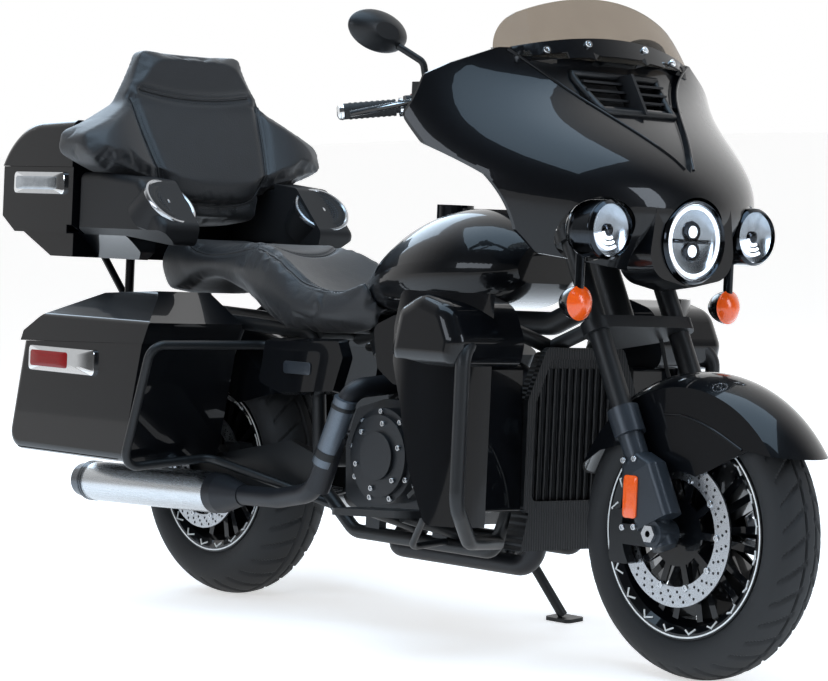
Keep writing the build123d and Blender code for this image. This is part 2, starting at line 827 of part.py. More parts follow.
# Rear caliper
with BuildPart() as rear_caliper:
    with BuildSketch(side_plane(118, 372, -rear_rotor_y + 22)):
        RectangleRounded(104, 54, 12)
    extrude(amount=arm_in - rear_rotor_y + 22)
    with BuildSketch(side_plane(rear_at[0], rear_at[1], -rear_rotor_y)):
        Circle(150 + caliper_gap)
    extrude(amount=rotor_t / 2 + 4, both=True, mode=Mode.SUBTRACT)
    with BuildSketch(side_plane(rear_at[0], rear_at[1], -rear_rotor_y)):
        Circle(carrier_reach + caliper_gap + 1)
    extrude(amount=60, both=True, mode=Mode.SUBTRACT)
keep("rear_caliper", rear_caliper.part - pieces["swingarm"])

# Engine: crankcase with side covers
case_outline = (
    (612, 306), (690, 268), (960, 268), (1040, 318), (1052, 400), (985, 500),
    (880, 548), (740, 548), (640, 520), (604, 430),
)
engine = slab(case_outline, -138, 138, 20)


def cover_disc(x, z, r, y_from, y_to):
    return rod((x, y_from, z), (x, y_to, z), r)


engine += cover_disc(crank_at[0], crank_at[1], 112, -130, -205)
engine += cover_disc(crank_at[0], crank_at[1], 96, -204, -216)
engine += cover_disc(crank_at[0], crank_at[1], 56, -215, -224)
engine += cover_disc(crank_at[0] + 160, crank_at[1] - 42, 66, -130, -188)
engine += cover_disc(crank_at[0], crank_at[1], 118, 130, 205)
engine += cover_disc(crank_at[0] - 150, crank_at[1] - 60, 70, 130, 190)
for mount_x in (690, 930):
    foot_side = ((mount_x, 230), (mount_x, 300), (mount_x + 50, 300), (mount_x + 50, 230))
    engine += both_sides(slab(foot_side, 116, 138))
keep("engine_block", engine - pieces["frame"])

# Two finned cylinders in a vee
def cylinder(turn):
    up = Vector(sin(radians(turn)), 0, cos(radians(turn)))
    base = Vector(crank_at[0], 0, crank_at[1])
    across = Vector(0, 1, 0)
    with BuildPart() as barrel:
        with BuildSketch(Plane(origin=tuple(base + up * 118), x_dir=across, z_dir=up)):
            Circle(60)
        extrude(amount=190)
        for step in range(fin_count):
            with BuildSketch(Plane(origin=tuple(base + up * (140 + 15 * step)), x_dir=across, z_dir=up)):
                RectangleRounded(166, 150, 34)
            extrude(amount=6)
        with BuildSketch(Plane(origin=tuple(base + up * 282), x_dir=across, z_dir=up)):
            RectangleRounded(190, 140, 28)
        extrude(amount=34)
    return barrel.part


rear_cylinder = cylinder(-vee)
cylinders = rear_cylinder + (cylinder(vee) - rear_cylinder)
keep("cylinders", cylinders - pieces["engine_block"] - pieces["frame"])

# Air cleaner on the right
with BuildPart() as cleaner:
    with BuildSketch(side_plane(868, 668, -120)):
        with BuildLine():
            FilletPolyline((-92, 60), (0, 96), (92, 52), (78, -40), (10, -96), (-70, -50),
                           radius=34, close=True)
        make_face()
    extrude(amount=104, taper=6)
intake = rod((crank_at[0], -124, 652), (crank_at[0], 0, 652), 40)
keep("air_cleaner", main_solids(cleaner.part + intake - pieces["cylinders"], 20000))

# Radiator with its surround
radiator_x = 1262.0
with BuildPart() as core:
    with BuildSketch(front_plane(radiator_x - 40, 0, 500)):
        with BuildLine():
            FilletPolyline((-160, -158), (160, -158), (160, 76), (112, 186), (-112, 186), (-160, 76),
                           radius=16, close=True)
        make_face()
    extrude(amount=34)
    with BuildSketch(front_plane(radiator_x - 6, 0, 500)):
        with BuildLine():
            FilletPolyline((-172, -172), (172, -172), (172, 80), (120, 198), (-120, 198), (-172, 80),
                           radius=18, close=True)
        make_face()
        with BuildLine():
            FilletPolyline((-148, -146), (148, -146), (148, 72), (104, 172), (-104, 172), (-148, 72),
                           radius=14, close=True)
        make_face(mode=Mode.SUBTRACT)
    extrude(amount=14)
    with BuildSketch(front_plane(radiator_x - 6, 0, 500)):
        with GridLocations(21, 1, 13, 1):
            Rectangle(5, 300)
    extrude(amount=6)
    with BuildSketch(front_plane(radiator_x - 60, 0, 286)):
        Trapezoid(330, 90, 76)
    extrude(amount=56)
keep("radiator", core.part - pieces["frame"])

# Fuel tank lofted through five rounded sections
with BuildPart() as tank:
    for row_x, half, low, high in tank_rows:
        waist = low + 0.46 * (high - low)
        with BuildSketch(front_plane(row_x)):
            with BuildLine():
                Line((-0.72 * half, low), (0.72 * half, low))
                ThreePointArc((0.72 * half, low), (0.97 * half, low + 0.2 * (high - low)), (half, waist))
                ThreePointArc((half, waist), (0.68 * half, high - 0.16 * (high - low)), (0, high))
                ThreePointArc((0, high), (-0.68 * half, high - 0.16 * (high - low)), (-half, waist))
                ThreePointArc((-half, waist), (-0.97 * half, low + 0.2 * (high - low)), (-0.72 * half, low))
            make_face()
    loft()
keep("fuel_tank", tank.part - pieces["frame"])

with BuildPart() as console:
    with BuildSketch(Plane(origin=(806, 0, 960), z_dir=(0, 0, 1))):
        Circle(44)
    extrude(amount=52)
    with BuildSketch(Plane(origin=(960, 0, 960), z_dir=(0, 0, 1))):
        RectangleRounded(230, 70, 34)
    extrude(amount=44)
keep("tank_console", console.part - pieces["fuel_tank"])

# Seat, lofted from the pillion pad down into the rider's dished bucket
with BuildPart() as seat:
    for row_x, half, low, edge, middle in seat_rows:
        with BuildSketch(front_plane(row_x)):
            with BuildLine():
                Line((-0.86 * half, low), (0.86 * half, low))
                ThreePointArc((0.86 * half, low), (half, (low + edge) / 2), (0.9 * half, edge))
                ThreePointArc((0.9 * half, edge), (0, middle), (-0.9 * half, edge))
                ThreePointArc((-0.9 * half, edge), (-half, (low + edge) / 2), (-0.86 * half, low))
            make_face()
    loft()
    with BuildSketch(side_plane()):
        with Locations((690, 690)):
            Rectangle(260, 120)
    extrude(amount=112, both=True, mode=Mode.SUBTRACT)
keep("seat", main_solids(seat.part - pieces["fuel_tank"] - pieces["frame"], 100000))

# Side covers under the seat
with BuildPart() as side_cover:
    with BuildSketch(side_plane(0, 0, -176)):
        with BuildLine():
            FilletPolyline((330, 560), (352, 672), (640, 684), (662, 640), (628, 552), (420, 536),
                           radius=14, close=True)
        make_face()
    extrude(amount=26, taper=14)
side_covers = both_sides(side_cover.part + rod((478, -178, 600), (478, -128, 600), 10))
keep("side_covers", side_covers - pieces["frame"])

# Rear fender
with BuildPart() as rear_fender:
    add(channel((0, tyre_r), rear_fender_r, rear_fender_half, fender_wall, 150, 30))
    revolve(axis=cross_axis(0, tyre_r))
    with BuildSketch(side_plane()):
        with BuildLine():
            Polyline((-420, 330), (-120, 440), (230, 520), (420, 560), (420, -100), (-420, -100), close=True)
        make_face()
    extrude(amount=200, both=True, mode=Mode.SUBTRACT)
stays = both_sides(rod((-100, 107, 640), (-100, 124, 704), 9) + rod((120, 107, 636), (120, 124, 700), 9))
keep("rear_fender", rear_fender.part + (stays - pieces["frame"]))

# Saddlebags: a shell each and a lid hinged along the outer edge
bag_room = (
    (-372 + 10, 350 + bag_wall), (-312 + 6, bag_split_rear + 20),
    (206 - 6, bag_split_front + 20), (140 - 6, 352 + bag_wall),
)
bag_shell = slab(bag_side, bag_in, bag_out, 0)
with BuildPart() as bag:
    add(bag_shell)
    fillet(bag.edges().filter_by(Axis.Y).group_by(Axis.Z)[0], 46)
    fillet(bag.faces().sort_by(Axis.Y)[-1].edges().group_by(Axis.Z)[0], 22)
bag_left = bag.part - slab(bag_room, bag_in + bag_wall, bag_out - bag_wall, 30)
keep("saddlebag_left", bag_left)
keep("saddlebag_right", flip(bag_left))

lid_side = (
    (-316, bag_split_rear + lid_gap), (-304, bag_split_rear + 26), (-107, bag_split_rear + 132),
    (96, bag_split_front + 126), (236, bag_split_front + 52), (212, bag_split_front + lid_gap),
)
lid_room = (
    (-298, bag_split_rear - 20), (-290, bag_split_rear + 22), (-104, bag_split_rear + 122),
    (92, bag_split_front + 116), (220, bag_split_front + 46), (200, bag_split_front - 20),
)
lid_slope = (
    (lid_in - 60, 400), (lid_in - 60, bag_split_front + 200), (lid_crest, bag_split_front + 200),
    (lid_crest, bag_split_front + 128), (bag_out + 3, bag_split_front + 52), (bag_out + 3, 400),
)
with BuildPart() as lid_hollow:
    with BuildSketch(side_plane(y=bag_out - 7)):
        with BuildLine():
            Polyline(*lid_room, close=True)
        make_face()
    extrude(amount=bag_out - 7 - lid_in - bag_wall)
    with BuildSketch(front_plane(-400)):
        with BuildLine():
            Polyline(*[(y - 4, z - 8) for y, z in lid_slope], close=True)
        make_face()
    extrude(amount=800, mode=Mode.INTERSECT)
with BuildPart() as bag_lid:
    with BuildSketch(side_plane(y=bag_out + 3)):
        with BuildLine():
            Polyline(*lid_side, close=True)
        make_face()
    extrude(amount=bag_out + 3 - lid_in)
    with BuildSketch(front_plane(-400)):
        with BuildLine():
            FilletPolyline(*lid_slope, radius=(1, 1, 1, 60, 14, 1), close=True)
        make_face()
    extrude(amount=800, mode=Mode.INTERSECT)
    add(lid_hollow.part, mode=Mode.SUBTRACT)
keep("bag_lid_left", bag_lid.part)
keep("bag_lid_right", flip(bag_lid.part))

# Exhaust pipes and mufflers
muffler_front = (300.0, 284.0)
muffler_back = (-348.0, 265.0)
right_pipe = tube(
    (
        (728, -70, 586), (728, -236, 570), (690, -236, 480), (612, -236, 318), (470, -muffler_y, 290),
        (muffler_front[0], -muffler_y, muffler_front[1]),
    ),
    (46, 60, 90, 120),
    pipe_r,
)
front_pipe = tube(
    ((960, 40, 640), (1096, 40, 600), (1096, 40, 180), (600, 40, 180), (470, muffler_y, 270),
     (muffler_front[0], muffler_y, muffler_front[1])),
    (50, 60, 60, 90),
    pipe_r,
)
pipes = (right_pipe + front_pipe) - pieces["cylinders"] - pieces["engine_block"] - pieces["frame"]
with BuildPart() as shield:
    with BuildSketch(Plane(origin=(650, -236, 396), x_dir=(0, 1, 0), z_dir=(0.45, 0, 1))):
        with BuildLine():
            CenterArc((0, 0), pipe_r + 8, 180, 180)
            Line((pipe_r + 8, 0), (-pipe_r - 8, 0))
        make_face()
    extrude(amount=75, both=True)
muffler_run = Vector(muffler_back[0] - muffler_front[0], 0, muffler_back[1] - muffler_front[1])
muffler_dir = muffler_run.normalized()


def muffler_ring(along):
    spot = Vector(muffler_front[0], -muffler_y, muffler_front[1]) + muffler_dir * along
    return Plane(origin=tuple(spot), z_dir=muffler_dir)


with BuildPart() as cone:
    for along, radius in ((-30, pipe_r + 2), (48, muffler_r - 2), (cone_end, muffler_r)):
        with BuildSketch(muffler_ring(along)):
            Circle(radius)
    loft(ruled=True)
keep("exhaust_pipes", main_solids(pipes + shield.part + both_sides(cone.part)))

body_end = muffler_run.length - tip_len
with BuildPart() as silencer:
    with BuildSketch(muffler_ring(cone_end)):
        Circle(muffler_r)
    extrude(amount=body_end - cone_end)
    for step in range(3):
        with BuildSketch(muffler_ring(body_end + step * 9)):
            Circle(muffler_r + 1)
        extrude(amount=6)
    with BuildSketch(muffler_ring(body_end)):
        Circle(muffler_r - 2)
    with BuildSketch(muffler_ring(muffler_run.length)):
        Circle(muffler_r - 8)
    loft(ruled=True)
    with BuildSketch(muffler_ring(muffler_run.length - 90)):
        Circle(36)
    extrude(amount=120, mode=Mode.SUBTRACT)
keep("mufflers", both_sides(silencer.part))

# Floorboards with brake pedal and shift lever
with BuildPart() as board:
    with BuildSketch(Plane(origin=(958, -318, 296), z_dir=(-0.06, 0, 1))):
        RectangleRounded(268, 104, 30)
    extrude(amount=16)
board_arm = rod((900, -300, 300), (880, -118, 250), 12) + rod((1010, -300, 298), (1010, -118, 250), 12)
boards = both_sides(board.part + board_arm)
pedal = tube(((990, -150, 236), (1000, -262, 228), (1080, -300, 300), (1118, -318, 372)), (30, 30), 8)
with BuildPart() as pedal_pad:
    with BuildSketch(Plane(origin=(1112, -322, 366), z_dir=(-0.6, 0, 0.8))):
        RectangleRounded(70, 64, 10)
    extrude(amount=10)
boards += both_sides(pedal + pedal_pad.part)
keep("floorboards", boards - pieces["frame"] - pieces["engine_block"])

# Leg shields: a curved leaf, a rounded glove pod on top and a flat panel beside the radiator
with BuildPart() as legshield:
    with BuildSketch(flat_plane(leg_low)):
        with BuildLine():
            ThreePointArc((1276, -292), (1222, -380), (1085, -414))
            Line((1085, -414), (1083, -408))
            ThreePointArc((1083, -408), (1217, -375), (1269, -292))
            Line((1269, -292), (1276, -292))
        make_face()
    extrude(amount=leg_high - leg_low)
    with BuildSketch(side_plane()):
        with BuildLine():
            FilletPolyline(
                (1196, leg_low - 1), (1300, leg_low - 1), (1300, leg_high + 1), (1110, leg_high + 1), (1072, 690),
                (1120, 560), (1150, 430), radius=24, close=True,
            )
        make_face()
    extrude(amount=500, mode=Mode.INTERSECT)
with BuildPart() as pod_box:
    with BuildSketch(side_plane(y=-218)):
        with BuildLine():
            FilletPolyline(
                (1068, pod_low), (1288, pod_low), (1300, 712), (1262, leg_high - 26), (1168, leg_high), (1098, leg_high - 36),
                radius=(24, 30, 40, 60, 60, 40), close=True,
            )
        make_face()
    extrude(amount=208)
    fillet(pod_box.faces().sort_by(Axis.Y)[0].edges(), 34)
with BuildPart() as panel:
    with BuildSketch(side_plane(y=-174)):
        with BuildLine():
            FilletPolyline((1160, 330), (1262, 330), (1250, 655), (1160, 655), radius=10, close=True)
        make_face()
    extrude(amount=118)
    with BuildSketch(front_plane(1230)):
        with Locations((-234, 500)):
            RectangleRounded(70, 240, 8)
    extrude(amount=-90, mode=Mode.SUBTRACT)
keep("legshields", both_sides(legshield.part + pod_box.part + panel.part) - pieces["radiator"])

# Engine guard bars and saddlebag guards
bar_path = (
    (1146, -cradle_y, 250), (1226, -290, 262), (1292, -392, 350), (1292, -392, 690), (1236, -250, 752),
    (1214, -72, 700),
)
crash = tube(bar_path, (50, 60, 50, 50), guard_r)
guards = both_sides(crash)
bag_loop = tube(
    (
        (474, -cradle_y, 652), (310, -160, 652), (262, -474, 646), (176, -484, 342), (196, -236, 366),
        (570, -cradle_y, 278),
    ),
    (40, 40, 40, 40),
    11,
)
guards += both_sides(bag_loop)
guard_cut = pieces["frame"] + pieces["swingarm"]
keep("guards", guards - guard_cut)
pieces["legshields"] = main_solids(pieces["legshields"] - pieces["guards"])
pieces["legshields"].label = "legshields"

# Top case with its tray, lid, backrest and speaker pods
case_side = ((case_rear, case_floor + 40), (case_rear, case_split), (case_front, case_split),
             (case_front, case_floor), (case_rear + 60, case_floor))
case_room = ((case_rear + case_wall, case_floor + 50), (case_rear + case_wall, case_split + 40),
             (case_front - case_wall, case_split + 40), (case_front - case_wall, case_floor + case_wall),
             (case_rear + 64, case_floor + case_wall))
case_box = slab(case_side, -case_half, case_half) - slab(case_room, case_wall - case_half, case_half - case_wall)
tray = slab(((case_rear + 70, case_floor), (-130, case_floor), (-130, tray_floor + 20), (-160, tray_floor),
             (case_rear + 200, tray_floor)), -300, 300)
tray = tray - slab(((-300, 800), (-300, 950), (-100, 950), (-100, 800)), -190, 190)
hinge_y = bag_out + 4
hinge_z = (bag_split_rear + bag_split_front) / 2
lid_reach = sqrt((hinge_y - lid_in) ** 2 + (bag_split_front + 126 - hinge_z) ** 2)
lid_sweep = both_sides(rod((-340, hinge_y, hinge_z), (260, hinge_y, hinge_z), lid_reach + lid_clear))
rack = both_sides(rod((-322, cradle_y, 710), (-322, cradle_y, tray_floor + 2), 12))
rack += both_sides(rod((-322, cradle_y, 730), (-440, cradle_y, tray_floor + 2), 10))
top_case = (case_box + tray - lid_sweep) + (rack - pieces["frame"])
keep("top_case", top_case)

with BuildPart() as lid_room_top:
    with BuildSketch(side_plane(y=case_half - 2)):
        with BuildLine():
            Polyline((case_rear + 4, case_split + 10), (case_rear + 4, case_split - 20),
                     (case_front - 6, case_split - 20), (case_front - 6, case_split + 112),
                     (-470, case_split + 106))
            ThreePointArc((-470, case_split + 106), (-574, case_split + 72), (case_rear + 4, case_split + 10))
        make_face()
    extrude(amount=2 * case_half - 4)
with BuildPart() as case_lid:
    with BuildSketch(side_plane(y=case_half + 4)):
        with BuildLine():
            Polyline((case_rear - 4, case_split + 16), (case_rear - 4, case_split + lid_gap),
                     (case_front, case_split + lid_gap), (case_front, case_split + 122),
                     (-470, case_split + 116))
            ThreePointArc((-470, case_split + 116), (-580, case_split + 80), (case_rear - 4, case_split + 16))
        make_face()
    extrude(amount=2 * case_half + 8)
    fillet(case_lid.faces().sort_by(Axis.Y)[-1].edges().group_by(Axis.Z)[-1], 18)
    fillet(case_lid.faces().sort_by(Axis.Y)[0].edges().group_by(Axis.Z)[-1], 18)
    add(lid_room_top.part, mode=Mode.SUBTRACT)
keep("top_case_lid", case_lid.part)

with BuildPart() as backrest:
    with BuildSketch(front_plane(back_face_x)):
        with BuildLine():
            FilletPolyline(
                (150, 946), (165, 1030), (392, 1106), (392, 1165), (240, 1258), (160, 1402),
                (-160, 1402), (-240, 1258), (-392, 1165), (-392, 1106), (-165, 1030), (-150, 946),
                radius=28, close=True,
            )
        make_face()
    extrude(amount=190)
    with BuildSketch(side_plane()):
        with BuildLine():
            FilletPolyline(
                (back_face_x, 940), (-150, 940), (-132, 1040), (-246, 1260), (-256, 1420), (back_face_x, 1420),
                radius=(0, 30, 60, 120, 30, 0), close=True,
            )
        make_face()
    extrude(amount=500, both=True, mode=Mode.INTERSECT)
keep("backrest", backrest.part)

with BuildPart() as pod:
    with BuildSketch(side_plane(y=pod_out)):
        with BuildLine():
            FilletPolyline(
                (back_face_x, case_floor), (back_face_x, 1066), (-212, 1066), (-46, 1050), (66, 936), (52, 884),
                (-126, case_floor), radius=(2, 20, 30, 30, 24, 24, 30), close=True,
            )
        make_face()
    extrude(amount=pod_out - pod_in)
    fillet(pod.faces().sort_by(Axis.Y)[-1].edges().group_by(Axis.Z)[-1], 20)
face_at = Vector(-8, (pod_in + pod_out) / 2 - 6, 984)
face_dir = Vector(0.7, -0.14, 0.7).normalized()
speaker = rod(tuple(face_at - face_dir * 60), tuple(face_at + face_dir * 14), speaker_r)
keep("speaker_pods", both_sides(pod.part + speaker) - pieces["backrest"] - lid_sweep)

# Rear lamps: tail lamp, signals and side markers
tail_x = -262.0
with BuildPart() as tail:
    with BuildSketch(front_plane(tail_x, 0, 566)):
        RectangleRounded(150, 66, 22)
    extrude(amount=-76)
    with BuildSketch(front_plane(tail_x - 40, 0, 566)):
        with Locations((132, 0), (-132, 0)):
            Circle(30)
    extrude(amount=-44)
    with BuildSketch(front_plane(tail_x - 40, 0, 566)):
        Rectangle(260, 16)
    extrude(amount=-14)
    with BuildSketch(side_plane(0, tyre_r)):
        Circle(rear_fender_r)
    extrude(amount=60, both=True, mode=Mode.SUBTRACT)
    with BuildSketch(front_plane(case_rear, 0, 1000)):
        with Locations((-240, 0), (240, 0)):
            RectangleRounded(120, 66, 12)
    extrude(amount=-20)
marker = slab(((-262, 560), (-248, 612), (-130, 616), (-140, 566)), -bag_out - 8, -bag_out, 8)
marker += slab(((-570, 1010), (-570, 1058), (-452, 1058), (-452, 1010)), -case_half - 8, -case_half, 10)
keep("rear_lamps", tail.part - pieces["rear_fender"] + both_sides(marker))

# Drive belt on the left, a fixed loop around both pulleys
sprocket_at = (560.0, 396.0)
sprocket_r = 40.0
belt_t = 5.0
belt_in = clear + 1.2


def belt_loop(extra):
    with BuildSketch(side_plane(y=belt_y + belt_w / 2)) as outline:
        with Locations((0, tyre_r)):
            Circle(pulley_r + extra)
        with Locations(sprocket_at):
            Circle(sprocket_r + extra)
        make_hull()
    return outline.sketch


belt = extrude(belt_loop(belt_in + belt_t) - belt_loop(belt_in), amount=belt_w)
keep("drive_belt", belt - pieces["frame"] - pieces["engine_block"])

# Side stand, swung out on the left
stand_pivot = Vector(862, 186, 203)
stand_foot = Vector(930, 300, 0)
foot_z = stand_foot.Y * tan(radians(lean))
ground = Plane(origin=(0, 0, 0), x_dir=(1, 0, 0), z_dir=(0, -sin(radians(lean)), cos(radians(lean))))
foot_top = Vector(stand_foot.X, stand_foot.Y - 6, foot_z + 12)
stand_leg = tube(
    (tuple(stand_pivot), tuple(stand_pivot + Vector(14, 48, -40)), tuple(foot_top)), 40, 12
)
fold_axis = Vector(0.095, 0.746, 0.659).normalized()
stand_eye = rod(tuple(stand_pivot - fold_axis * 16), tuple(stand_pivot + fold_axis * 16), 24)
with BuildPart() as foot:
    with BuildSketch(ground):
        with Locations((stand_foot.X, stand_foot.Y / cos(radians(lean)))):
            RectangleRounded(86, 58, 14)
    extrude(amount=9)
side_stand = stand_leg + stand_eye + foot.part
keep("side_stand", side_stand)
stand_bolt = rod(tuple(stand_pivot - fold_axis * 40), tuple(stand_pivot - fold_axis * 16.6), 14)
lug = rod((862, cradle_y, 214), tuple(stand_pivot - fold_axis * 36), 11)
pieces["frame"] = pieces["frame"] + stand_bolt + lug
pieces["frame"].label = "frame"

# Lean onto the stand, centre over the origin and write each piece
leaned = {name: Rot(-lean, 0, 0) * part for name, part in pieces.items()}
boxes = [part.bounding_box() for part in leaned.values()]
mid_x = (min(b.min.X for b in boxes) + max(b.max.X for b in boxes)) / 2
mid_y = (min(b.min.Y for b in boxes) + max(b.max.Y for b in boxes)) / 2
floor_z = min(b.min.Z for b in boxes)
os.makedirs("parts", exist_ok=True)
for name, part in leaned.items():
    placed = Pos(-mid_x, -mid_y, -floor_z) * part
    placed.label = name
    export_step(placed, f"parts/{name}.step")
print("shift", -mid_x, -mid_y, -floor_z)
print("size", [max(b.max.X for b in boxes) - min(b.min.X for b in boxes),
               max(b.max.Y for b in boxes) - min(b.min.Y for b in boxes),
               max(b.max.Z for b in boxes) - min(b.min.Z for b in boxes)])
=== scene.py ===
# %% [markdown]
# # A touring motorcycle on its side stand
# The CAD model is the frame of this scene: every node is already in place, in metres, leaning on the stand.
# We load it first and remember its box, because nothing we add may make the object larger.

# %% Load the frame
import json
import math
import bpy
import bmesh
import numpy as np
from mathutils import Matrix, Vector
from mathutils.bvhtree import BVHTree


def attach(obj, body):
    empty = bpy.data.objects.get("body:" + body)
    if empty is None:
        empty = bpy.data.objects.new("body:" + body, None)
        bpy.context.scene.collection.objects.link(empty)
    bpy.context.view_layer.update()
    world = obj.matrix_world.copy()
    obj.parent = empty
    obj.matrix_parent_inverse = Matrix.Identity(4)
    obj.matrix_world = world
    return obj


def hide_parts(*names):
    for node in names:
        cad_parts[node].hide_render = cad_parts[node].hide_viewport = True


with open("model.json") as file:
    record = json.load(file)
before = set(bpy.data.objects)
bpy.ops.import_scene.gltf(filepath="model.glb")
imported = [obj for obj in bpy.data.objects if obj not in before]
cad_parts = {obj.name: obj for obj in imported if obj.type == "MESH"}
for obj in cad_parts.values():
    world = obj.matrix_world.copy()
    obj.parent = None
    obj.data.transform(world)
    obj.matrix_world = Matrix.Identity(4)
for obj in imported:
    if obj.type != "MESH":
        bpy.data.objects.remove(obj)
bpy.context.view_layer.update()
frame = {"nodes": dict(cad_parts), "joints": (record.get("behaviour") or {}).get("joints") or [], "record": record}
nodes = frame["nodes"]
joints = {joint["name"]: joint for joint in frame["joints"]}

# %% [markdown]
# The machine was drawn upright, in millimetres from the rear axle, and then leaned and moved. Pieces are
# easier to think about upright, so one function takes an upright point to where it is in the leaned frame.

# %% From the upright drawing to the leaned frame
LEAN, AXLE_HEIGHT = math.radians(5.0), 0.320
TILT = Matrix.Rotation(-LEAN, 4, "X")
rear_axle_at = Vector(joints["rear_wheel_spin"]["pos_m"])
SHIFT = rear_axle_at - TILT @ Vector((0.0, 0.0, AXLE_HEIGHT))
PLACE = Matrix.Translation(SHIFT) @ TILT @ Matrix.Scale(0.001, 4)
UNPLACE = PLACE.inverted()
TURN = TILT.to_3x3()
UNTURN = TURN.inverted()


def placed(point):
    return PLACE @ Vector(point)


print("shift", SHIFT)

# %% [markdown]
# The photograph was taken from the right front with a long lens. The camera stands where a fit to both
# wheels, the brake discs and pairs of mirrored landmarks puts it.

# %% Camera
CAM_AT = (6185.38, -4691.66, 1320.92)
YAW, PITCH, ROLL = math.radians(139.22), math.radians(-5.02), math.radians(-1.26)
FOCAL_PX, PHOTO_PX, SENSOR_MM = 3038.37, 828.0, 36.0
ahead = Vector((math.cos(YAW) * math.cos(PITCH), math.sin(YAW) * math.cos(PITCH), math.sin(PITCH)))
side = Vector((math.sin(YAW), -math.cos(YAW), 0.0))
over = side.cross(ahead)
right = math.cos(ROLL) * side + math.sin(ROLL) * over
above = -math.sin(ROLL) * side + math.cos(ROLL) * over
camera_data = bpy.data.cameras.new("photo_camera")
camera_data.sensor_width = SENSOR_MM
camera_data.sensor_fit = "HORIZONTAL"
camera_data.lens = FOCAL_PX * SENSOR_MM / PHOTO_PX
camera_data.clip_end = 60.0
camera = bpy.data.objects.new("photo_camera", camera_data)
bpy.context.scene.collection.objects.link(camera)
turn = Matrix((right, above, -ahead)).transposed().to_4x4()
camera.matrix_world = Matrix.Translation(Vector(CAM_AT) * 0.001 + SHIFT) @ turn
bpy.context.scene.camera = camera
print("lens", camera_data.lens)

# %% [markdown]
# Colours are written as sRGB hex, as a paint chart gives them, and one function turns them to the linear
# values that shaders work with. A second small function adds a node with its settings and links: a link is
# made where the value is another node's socket, and a plain value is set on the socket itself.

# %% Colour and node helpers
def linear(hex_code):
    values = [int(hex_code[i:i + 2], 16) / 255.0 for i in (1, 3, 5)]
    return tuple(v / 12.92 if v <= 0.04045 else ((v + 0.055) / 1.055) ** 2.4 for v in values) + (1.0,)


def add_node(tree, kind, settings=None, inputs=None):
    node = tree.nodes.new(kind)
    for key, value in (settings or {}).items():
        setattr(node, key, value)
    for key, value in (inputs or {}).items():
        socket = node.inputs[key]
        if isinstance(value, bpy.types.NodeSocket):
            tree.links.new(value, socket)
        else:
            socket.default_value = value
    return node


print("white is", linear("#ffffff"))

# %% [markdown]
# The studio is a white floor under a white sweep. The camera and the mirrors of the machine see that white,
# while the side behind the camera is a dim room, because black paint only looks black when it has something
# dark to mirror. The world does both: its Light Path switch gives camera, mirror and glass rays the
# backdrop, and its direction, read from Generated, tells the lit sweep from the dim room.

# %% Floor
FLOOR_HALF = 40.0
floor_mesh = bpy.data.meshes.new("studio_floor")
floor_mesh.from_pydata([(-FLOOR_HALF, -FLOOR_HALF, 0.0), (FLOOR_HALF, -FLOOR_HALF, 0.0),
                        (FLOOR_HALF, FLOOR_HALF, 0.0), (-FLOOR_HALF, FLOOR_HALF, 0.0)], [], [(0, 1, 2, 3)])
floor = bpy.data.objects.new("studio_floor", floor_mesh)
bpy.context.scene.collection.objects.link(floor)
floor_paint = bpy.data.materials.new("floor_paint_white")
floor_paint.use_nodes = True
tree = floor_paint.node_tree
floor_shader = tree.nodes["Principled BSDF"]
floor_shader.inputs["Roughness"].default_value = 0.7
floor_shader.inputs["Specular IOR Level"].default_value = 0.1
scuffs = add_node(tree, "ShaderNodeTexNoise", inputs={
    "Vector": add_node(tree, "ShaderNodeTexCoord").outputs["Object"], "Scale": 1.5, "Detail": 4.0})
tint = add_node(tree, "ShaderNodeMix", {"data_type": "RGBA"}, {
    "Factor": scuffs.outputs["Fac"], "A": linear("#f6f6f6"), "B": linear("#fbfbfb")})
tree.links.new(tint.outputs["Result"], floor_shader.inputs["Base Color"])
seen = add_node(tree, "ShaderNodeLightPath")
seen_or_mirrored = add_node(tree, "ShaderNodeMath", {"operation": "MAXIMUM"}, {
    0: seen.outputs["Is Camera Ray"], 1: seen.outputs["Is Glossy Ray"]})
seen_at_all = add_node(tree, "ShaderNodeMath", {"operation": "MAXIMUM"}, {
    0: seen_or_mirrored.outputs[0], 1: seen.outputs["Is Transmission Ray"]})
lift = add_node(tree, "ShaderNodeMath", {"operation": "MULTIPLY"}, {0: seen_at_all.outputs[0], 1: 0.55})
floor_shader.inputs["Emission Color"].default_value = (1.0, 1.0, 1.0, 1.0)
tree.links.new(lift.outputs[0], floor_shader.inputs["Emission Strength"])
floor_mesh.materials.append(floor_paint)
print("floor", FLOOR_HALF * 2, "m wide")

# %% White sweep and dim room
SWEEP_DIR = Vector((math.cos(YAW), math.sin(YAW), 0.0))
world = bpy.data.worlds.new("studio_sweep")
bpy.context.scene.world = world
world.use_nodes = True
tree = world.node_tree
ray = add_node(tree, "ShaderNodeLightPath")
mirror_ray = add_node(tree, "ShaderNodeMath", {"operation": "MAXIMUM"}, {
    0: ray.outputs["Is Glossy Ray"], 1: ray.outputs["Is Transmission Ray"]})
heading = add_node(tree, "ShaderNodeTexCoord").outputs["Generated"]
toward = add_node(tree, "ShaderNodeVectorMath", {"operation": "DOT_PRODUCT"}, {0: heading, 1: SWEEP_DIR})
sweep_side = add_node(tree, "ShaderNodeMapRange", {"interpolation_type": "SMOOTHSTEP"}, {
    "Value": toward.outputs["Value"], "From Min": -0.15, "From Max": 0.55, "To Min": 0.10, "To Max": 1.0})
room = add_node(tree, "ShaderNodeMix", {"data_type": "FLOAT"}, {
    "Factor": mirror_ray.outputs[0], "A": 0.42, "B": sweep_side.outputs["Result"]})
